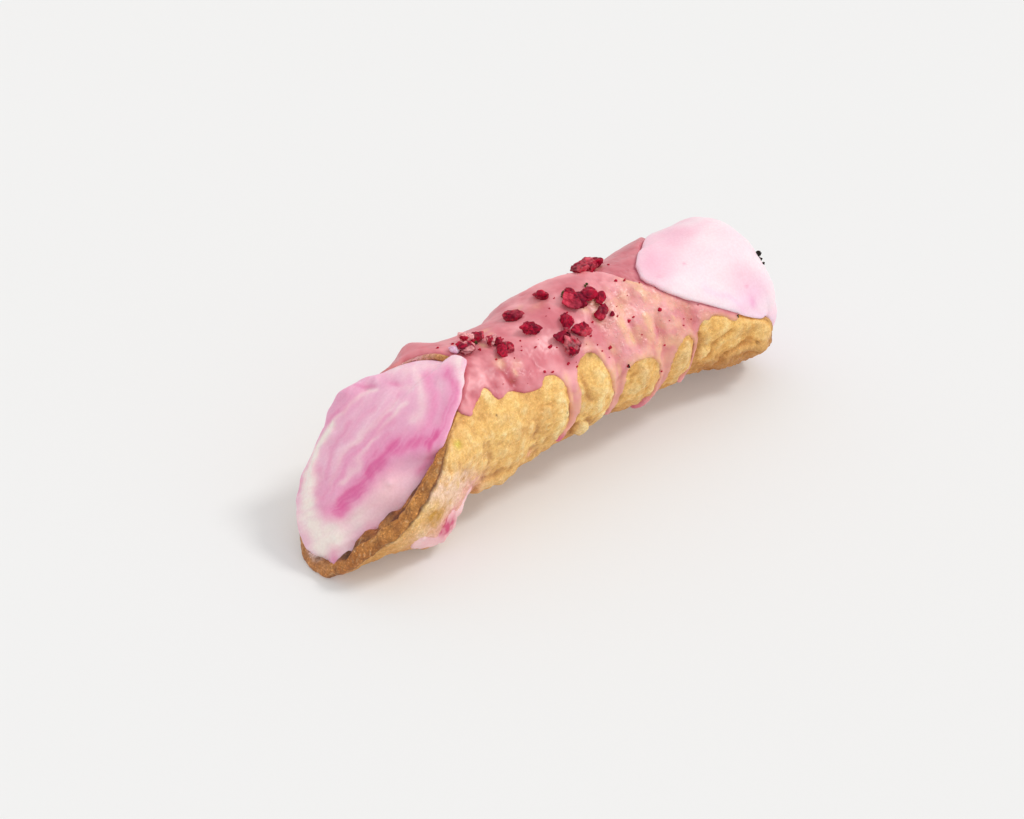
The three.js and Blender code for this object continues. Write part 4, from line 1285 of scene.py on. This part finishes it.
def crumb(rng, size, subdiv, pale):
    """One broken piece of dried raspberry: a few drupelets, snapped off flat in places."""
    v, t = BALLS[subdiv]
    n = rng.integers(6, 10)
    seeds = rng.normal(size=(n, 3))
    seeds /= np.linalg.norm(seeds, axis=1)[:, None]
    reach = rng.uniform(0.34, 0.62, n)
    radii = rng.uniform(0.36, 0.54, n)
    centres = np.concatenate([seeds * reach[:, None], [[0, 0, 0]]])
    radii = np.concatenate([radii, [0.5]])
    # how far out the joined drupelets reach in each direction
    b = v @ centres.T
    disc = b * b - (centres ** 2).sum(1) + radii ** 2
    out = np.where(disc > 0, b + np.sqrt(np.clip(disc, 0, None)), 0)
    r = out.max(1)
    gap = np.sort(out, axis=1)[:, -1] - np.sort(out, axis=1)[:, -2]
    seam = 1 - step(0.0, 0.08, gap)
    cut = np.zeros(len(v))
    lit = np.zeros(len(v))
    for _ in range(rng.integers(7, 12)):
        d = rng.normal(size=3)
        d /= np.linalg.norm(d)
        off = rng.uniform(0.36, 0.66)
        reach_p = off / np.clip(v @ d, 1e-3, None)
        hit = (v @ d > 0.05) & (reach_p < r)
        cut = np.where(hit, 1.0, cut)
        lit = np.where(hit, rng.uniform(0, 1) ** 3.2, lit)
        r = np.where(hit, reach_p, r)
    p = v * r[:, None]
    rough = 0.055 * N1.fbm(p * 6 + rng.uniform(0, 50), 1.6, 2) + 0.028 * N2.fbm(p * 14 + rng.uniform(0, 50), 1.5, 2)
    r = r * (1 - 0.07 * seam) + rough * (1 + 0.8 * cut)
    p = v * r[:, None]
    p /= np.abs(p).max(0).mean() * 1.0
    squash = np.array([rng.uniform(0.95, 1.2), rng.uniform(0.85, 1.05), rng.uniform(0.78, 1.0)])
    spin = rng.normal(size=4)
    spin /= np.linalg.norm(spin)
    qw, qx, qy, qz = spin
    rot = np.array([[1 - 2 * (qy * qy + qz * qz), 2 * (qx * qy - qz * qw), 2 * (qx * qz + qy * qw)],
                    [2 * (qx * qy + qz * qw), 1 - 2 * (qx * qx + qz * qz), 2 * (qy * qz - qx * qw)],
                    [2 * (qx * qz - qy * qw), 2 * (qy * qz + qx * qw), 1 - 2 * (qx * qx + qy * qy)]])
    p = (p @ rot.T) * squash * size / 2
    g = N3.fbm(v * 4 + rng.uniform(0, 50), 1.7, 3)
    dark, red, light = srgb(106, 0, 36), srgb(197, 0, 53), srgb(244, 86, 110)
    c = mix(dark, red, np.clip(0.56 + 0.9 * g, 0, 1))
    c = mix(c, light, np.clip(lit * (0.70 + 0.6 * N4.fbm(v * 3 + 3, 1.5, 2)), 0, 0.80))
    # painted shade: darker in the seams between drupelets and on each crumb's underside
    c = mix(c, dark, 0.62 * seam * (1 - cut))
    c = mix(c, dark, 0.55 * step(0.1, -0.7, v[:, 2] + 0.2 * g))
    if pale:
        side = step(-0.05, 0.30, N1(v * 1.1 + rng.uniform(0, 50), 1.0) + 0.20 * cut)
        c = mix(c, srgb(255, 192, 190), np.clip(pale * side * (1.0 + 0.5 * N2.fbm(v * 3, 1.0, 2)), 0, 0.92) * (1 - 0.8 * seam))
    return p, t, c


# station, angle, length mm, height mm, turn degrees, pale share, level of detail
CRUMBS = [
    (-22.2, -4.0, 4.8, 4.2, 20, 0.95, 5), (-25.4, 6.2, 6.2, 3.2, -15, 0.60, 5), (-19.4, -1.4, 4.4, 3.4, 60, 0.10, 4),
    (-18.2, 10.4, 3.6, 3.6, 10, 0.75, 4), (-16.4, 14.6, 3.4, 3.0, 70, 0.0, 4), (-18.2, 23.6, 4.2, 3.4, 30, 0.0, 4),
    (-15.8, 23.6, 4.4, 3.0, -40, 0.12, 4), (-5.0, -3.8, 6.4, 3.2, 35, 0.05, 4), (-6.7, 18.4, 6.8, 4.0, 15, 0.0, 5),
    (6.4, -5.0, 5.2, 3.6, 80, 0.05, 4), (10.9, 13.0, 7.0, 4.8, 60, 0.0, 5), (15.7, 15.6, 5.8, 4.2, 20, 0.0, 4),
    (18.6, 23.2, 4.6, 3.2, -60, 0.0, 4), (16.4, 32.4, 5.0, 3.8, 15, 0.05, 4), (19.4, 37.6, 1.9, 1.4, 0, 0.0, 3),
    (4.4, 26.9, 4.8, 3.8, 100, 0.0, 4), (0.0, 36.0, 5.0, 2.8, 0, 0.0, 4), (6.6, 38.8, 5.8, 4.2, 45, 0.1, 5),
    (1.0, 45.6, 6.6, 4.0, 95, 0.25, 5), (28.2, -16.6, 7.6, 4.6, 25, 0.10, 5), (23.6, -11.0, 5.6, 3.4, -10, 0.15, 4),
    (32.0, -18.5, 4.2, 3.2, 40, 0.0, 4), (12.6, 20.6, 2.6, 2.0, 0, 0.0, 3), (2.6, 33.4, 2.4, 1.8, 0, 0.1, 3),
]
# tiny bits: station, angle, size mm
SPECKS = [
    (-8.4, 33, 0.9), (-4.3, 38, 1.4), (27.9, 15, 0.9), (30.2, 18, 0.9), (34.4, 51, 1.1), (25.3, 47, 0.8),
    (23.5, 48, 1.0), (13.9, 60, 1.2), (10.2, 59, 0.7), (-10.1, 53, 0.8), (-7.8, 56, 0.9), (-1.6, 56, 0.9),
    (2.2, 52, 0.8), (30.9, 99, 0.7), (32.4, 78, 0.8), (17.8, 79, 0.9), (27.5, 30, 0.5), (36.2, 62, 0.5),
    (12.0, 66, 0.5), (-2.6, 41, 0.6), (0.6, 61, 0.6), (40.2, 70, 0.7), (41.4, 66, 0.5), (-22.4, 12, 0.8),
    (-12.6, 30, 0.6), (9.2, 45, 0.8), (12.4, 36, 0.9), (20.4, 41, 0.6), (22.0, 34, 0.5), (7.4, 20, 0.6),
    (-10.6, 22, 0.6), (-21.0, 27, 0.7), (-14.0, 12, 0.6), (1.4, 14, 0.5), (21.4, 18, 0.7), (44.8, 70, 0.5),
    (-30.4, -12, 0.8), (-26.0, -9, 0.9), (25.4, 62, 0.5), (48.6, 62, 0.5), (33.2, 26, 0.5), (-16.2, 33, 0.5),
    (4.4, 9, 0.6), (8.6, 2, 0.7), (25.4, -4, 0.9), (34.6, -12, 0.7), (21.0, -18, 0.8), (37.0, 34, 0.4),
]
GREENS = [(11.8, 2.4, 1.4, 1.0), (10.6, 4.4, 0.9, 0.7), (-21.4, 3.4, 1.3, 0.9), (19.6, 6.4, 1.3, 1.0), (18.6, 7.8, 1.0, 0.8)]
DARKS = [(79.6, 47.5, 2.1), (80.6, 52.5, 1.3), (80.4, 57.5, 1.1), (17.9, 79, 1.2), (60.6, 82.5, 1.0)]


def resting(x, a):
    """Radius of the glazed surface at a spot."""
    xx, aa = np.array([[x]], float), np.array([[a]], float)
    return float(glaze_outer(xx, aa, dough_outer(xx, aa))[0, 0])


def outward(p, t):
    """The triangles of a closed piece, turned so that they face out."""
    a, b, c = p[t[:, 0]], p[t[:, 1]], p[t[:, 2]]
    return t if ((a - p.mean(0)) * np.cross(b - p.mean(0), c - p.mean(0))).sum() > 0 else t[:, ::-1]


def merge(parts):
    V, F, C, base = [], [], [], 0
    for p, t, c in parts:
        V.append(p)
        F.append(outward(p, t) + base)
        C.append(c)
        base += len(p)
    return np.concatenate(V), [np.concatenate(F)], np.concatenate(C)


def build_crumbs():
    parts = []
    for i, (x, a, length, height, spin, pale, sub) in enumerate(CRUMBS):
        rng = np.random.default_rng(300 + i)
        p, t, c = crumb(rng, length, sub, pale)
        p[:, 2] *= height / (np.ptp(p[:, 2]) + 1e-9)
        size = np.ptp(p[:, :2], axis=0)
        p[:, 0] *= length / max(size)
        p[:, 1] *= length / max(size)
        s, k = math.sin(math.radians(spin)), math.cos(math.radians(spin))
        p[:, :2] = p[:, :2] @ np.array([[k, s], [-s, k]])
        low = p[:, 2].min()
        p[:, 2] -= low + 0.16 * height + 0.15
        p = p @ frame_at(a).T + place(x, a, np.array(resting(x, a)))
        parts.append((p, t, c))
    V, F, C = merge(parts)
    return build("fruit_crumb_bits", to_row(V), F, {"tone": C})


def build_specks():
    rng = np.random.default_rng(77)
    spots = list(SPECKS)
    while len(spots) < 58:
        x = rng.normal(8, 20)
        a = rng.normal(30, 26)
        if -28 < x < 52 and -30 < a < 78:
            spots.append((x, a, rng.uniform(0.22, 0.55)))
    parts = []
    for i, (x, a, size) in enumerate(spots):
        v, t = BALLS[3 if size > 0.75 else 2]
        r = 1 + 0.75 * N2.fbm(v * 1.1 + i * 3.1, 1.0, 2)
        p = v * r[:, None] * size * 0.44 * np.array([1.15, rng.uniform(0.55, 1.0), 0.7])
        p = p @ frame_at(a).T + place(x, a, np.array(resting(x, a) + 0.10 * size))
        g = np.clip(0.5 + 0.6 * N3(v * 2 + i, 1.0), 0, 1)
        parts.append((p, t, mix(srgb(160, 6, 40), srgb(212, 30, 66), g)))
    V, F, C = merge(parts)
    return build("fruit_specks", to_row(V), F, {"tone": C})


def build_flakes(name, rows, dark, light):
    """Small curled flakes."""
    parts = []
    for i, row in enumerate(rows):
        rng = np.random.default_rng(500 + i + len(name))
        x, a, size = row[:3]
        v, t = BALLS[4]
        r = 1 + 0.5 * N1.fbm(v * 1.1 + i * 5.3, 1.0, 3)
        p = v * r[:, None] * size / 2 * np.array([1.0, 0.62, 0.34])
        p[:, 2] += 0.30 * size * np.sin(p[:, 0] / size * 5 + i)
        s, k = math.sin(i * 1.9), math.cos(i * 1.9)
        p[:, :2] = p[:, :2] @ np.array([[k, s], [-s, k]])
        if x > 76:
            base = place(x, a, np.array(17.4 - 0.5 * (x - 79.6)))
            base = FAR_SKIN[np.argmin(((FAR_SKIN - base) ** 2).sum(1))] + np.array([0.12, 0, 0]) * size
            p = p[:, [2, 1, 0]]
        else:
            base = place(x, a, np.array(resting(x, a) + 0.2 * size))
        p = p @ frame_at(a).T + base
        parts.append((p, t, mix(dark, light, np.clip(0.4 + 0.8 * N2(v * 3 + i, 1.0), 0, 1))))
    V, F, C = merge(parts)
    return build(name, to_row(V), F, {"tone": C})


# ---------------------------------------------------------------- finishes --
def shell_finish():
    t = Tree("fried_dough")
    tone = t.attr("tone", False)
    fine = t.noise(1000, 4, 0.62)
    mid = t.noise(360, 3, 0.55)
    speck = t.noise(2400, 2, 0.5)
    v = t.mixc(t.remap(fine, 0.32, 0.70), (0.86, 0.80, 0.68), (1.05, 1.06, 1.06))
    c = t.mixc(1.0, tone, v, "MULTIPLY")
    v = t.mixc(t.remap(mid, 0.32, 0.68), (0.96, 0.93, 0.88), (1.04, 1.04, 1.05))
    c = t.mixc(1.0, c, v, "MULTIPLY")
    grain = t.attr("grain")
    sugar = t.noise(1500, 3, 0.60)
    v = t.mixc(1.0, c, t.mixc(t.remap(sugar, 0.36, 0.62), (0.80, 0.75, 0.68), (1.08, 1.09, 1.11)), "MULTIPLY")
    c = t.mixc(grain, c, v)
    # painted glints: sparse specks made far brighter than the dough, on the grainy parts and, fewer, all over
    v = t.mixc(1.0, c, (1.55, 1.65, 1.85), "MULTIPLY")
    c = t.mixc(t.math("MULTIPLY", t.remap(t.noise(1900, 1, 0.5), 0.60, 0.70), grain), c, v)
    glint = t.mixc(1.0, c, (1.50, 1.55, 1.75), "MULTIPLY")
    c = t.mixc(t.math("MULTIPLY", t.remap(speck, 0.60, 0.71), 0.55), c, glint)
    t.set("Base Color", c)
    t.set("Roughness", t.remap(fine, 0.3, 0.7, 0.70, 0.46))
    t.set("Specular IOR Level", 0.5)
    t.set("Subsurface Weight", 0.08)
    t.set("Subsurface Radius", (1.0, 0.45, 0.2))
    t.set("Subsurface Scale", 0.0010)
    b = t.bump(mid, 0.50, 0.0006)
    b = t.bump(fine, 0.80, 0.00036, b)
    b = t.bump(speck, 0.50, 0.00014, b)
    b = t.bump(t.math("MULTIPLY", sugar, grain), 0.60, 0.00040, b)
    t.set("Normal", b)
    return t.mat


def glaze_finish():
    t = Tree("pink_glaze")
    tone = t.attr("tone", False)
    grain = t.attr("grain")
    soft = t.noise(280, 3, 0.5)
    fine = t.noise(1100, 3, 0.55)
    v = t.mixc(t.remap(soft, 0.3, 0.7), (0.95, 0.90, 0.91), (1.05, 1.07, 1.06))
    c = t.mixc(1.0, tone, v, "MULTIPLY")
    # painted highlight: the pimples on the grainy parts are coloured lighter
    pim = t.remap(t.noise(1000, 1.0, 0.4), 0.56, 0.80)
    c = t.mixc(t.math("MULTIPLY", pim, grain), c, t.mixc(1.0, c, (1.05, 1.22, 1.18), "MULTIPLY"))
    t.set("Base Color", c)
    t.set("Roughness", t.math("MULTIPLY_ADD", grain, -0.10, t.remap(soft, 0.3, 0.7, 0.36, 0.50)))
    t.set("Specular IOR Level", 0.5)
    t.set("Subsurface Weight", 0.18)
    t.set("Subsurface Radius", (1.0, 0.45, 0.42))
    t.set("Subsurface Scale", 0.0014)
    t.set("Coat Weight", 0.14)
    t.set("Coat Roughness", 0.22)
    amount = t.math("MULTIPLY_ADD", grain, 1.0, 0.12)
    b = t.bump(soft, 0.22, 0.0005)
    b = t.bump(t.math("MULTIPLY", t.noise(640, 2, 0.5), grain), 0.55, 0.0007, b)
    b = t.bump(t.math("MULTIPLY", pim, amount), 0.8, 0.00020, b)
    b = t.bump(fine, 0.22, 0.00012, b)
    t.set("Normal", b)
    return t.mat


def cream_finish():
    t = Tree("whipped_filling")
    tone = t.attr("tone", False)
    soft = t.noise(300, 3, 0.5)
    fine = t.noise(1500, 2, 0.5)
    v = t.mixc(t.remap(fine, 0.3, 0.7), (0.975, 0.955, 0.965), (1.02, 1.03, 1.03))
    t.set("Base Color", t.mixc(1.0, tone, v, "MULTIPLY"))
    t.set("Roughness", t.remap(soft, 0.3, 0.7, 0.46, 0.58))
    t.set("Specular IOR Level", 0.4)
    t.set("Subsurface Weight", 0.45)
    t.set("Subsurface Radius", (1.0, 0.62, 0.70))
    t.set("Subsurface Scale", 0.0022)
    b = t.bump(soft, 0.18, 0.0004)
    b = t.bump(fine, 0.12, 0.0001, b)
    t.set("Normal", b)
    return t.mat


def crumb_finish(name="dried_fruit", gain=(1.12, 1.15, 1.15)):
    t = Tree(name)
    tone = t.attr("tone", False)
    soft = t.noise(1300, 3, 0.6)
    fine = t.noise(4200, 2, 0.5)
    v = t.mixc(t.remap(soft, 0.3, 0.7), (0.84, 0.66, 0.74), gain)
    t.set("Base Color", t.mixc(1.0, tone, v, "MULTIPLY"))
    t.set("Roughness", t.remap(fine, 0.3, 0.7, 0.42, 0.62))
    t.set("Specular IOR Level", 0.16)
    t.set("Subsurface Weight", 0.16)
    t.set("Subsurface Radius", (1.0, 0.25, 0.25))
    t.set("Subsurface Scale", 0.0006)
    b = t.bump(soft, 0.45, 0.0003)
    b = t.bump(fine, 0.4, 0.00010, b)
    t.set("Normal", b)
    return t.mat


def floor_finish():
    t = Tree("pale_floor")
    n = t.noise(6, 2, 0.5)
    t.set("Base Color", t.mixc(n, (0.680, 0.682, 0.685), (0.688, 0.690, 0.693)))
    # the floor glows faintly, lifting the shadows under the object
    t.set("Emission Color", (1.0, 0.992, 0.985))
    t.set("Emission Strength", 0.16)
    t.set("Roughness", 0.85)
    t.set("Specular IOR Level", 0.1)
    return t.mat


# ------------------------------------------------------------------- build --
shell, base, ring = build_shell()
shell.data.materials.append(shell_finish())
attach(shell, "root")
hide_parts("shell")

cream = build_cream()
cream.data.materials.append(cream_finish())
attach(cream, "root")
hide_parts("cream")

glaze = build_glaze(base, ring)
glaze.data.materials.append(glaze_finish())
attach(glaze, "root")

fruit = crumb_finish()
crumbs = build_crumbs()
crumbs.data.materials.append(fruit)
specks = build_specks()
specks.data.materials.append(fruit)
greens = build_flakes("green_flakes", GREENS, srgb(46, 62, 30), srgb(104, 112, 52))
greens.data.materials.append(crumb_finish("dried_leaf", (1.05, 1.05, 1.0)))
darks = build_flakes("dark_flakes", DARKS, srgb(24, 20, 18), srgb(58, 50, 44))
darks.data.materials.append(crumb_finish("dark_leaf", (1.05, 1.05, 1.0)))
for o in (crumbs, specks, greens, darks):
    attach(o, "root")

# ------------------------------------------------------------------- stage --
floor = build("floor", [(-4, -4, 0), (4, -4, 0), (4, 4, 0), (-4, 4, 0)], [np.array([[0, 1, 2, 3]])])
floor.location.z = -0.0001
floor.data.materials.append(floor_finish())

world = bpy.data.worlds.new("studio")
bpy.context.scene.world = world
world.use_nodes = True
bg = world.node_tree.nodes["Background"]
bg.inputs["Color"].default_value = (1.0, 0.995, 0.985, 1.0)
bg.inputs["Strength"].default_value = 0.805

sun = bpy.data.lights.new("key", "SUN")
sun.energy = 1.08
sun.angle = math.radians(15)
sun.color = (1.0, 0.985, 0.96)
key = bpy.data.objects.new("key", sun)
bpy.context.scene.collection.objects.link(key)
_to = Vector((0.7254 * 0.62 + 0.10, -0.6884 * 0.62 + 0.06, 0.80))
key.rotation_euler = _to.to_track_quat("Z", "Y").to_euler()

cam = bpy.data.cameras.new("camera")
cam.lens = 100
cam.sensor_width = 36
cam.sensor_fit = "HORIZONTAL"
cam.clip_start, cam.clip_end = 0.02, 20
camera = bpy.data.objects.new("camera", cam)
bpy.context.scene.collection.objects.link(camera)
camera.location = (-0.464395, -0.478056, 0.450710)
camera.rotation_euler = Euler((math.radians(90 - 33.3), 0, -math.radians(43.5)))
bpy.context.scene.camera = camera
bpy.context.scene.view_settings.view_transform = "Standard"
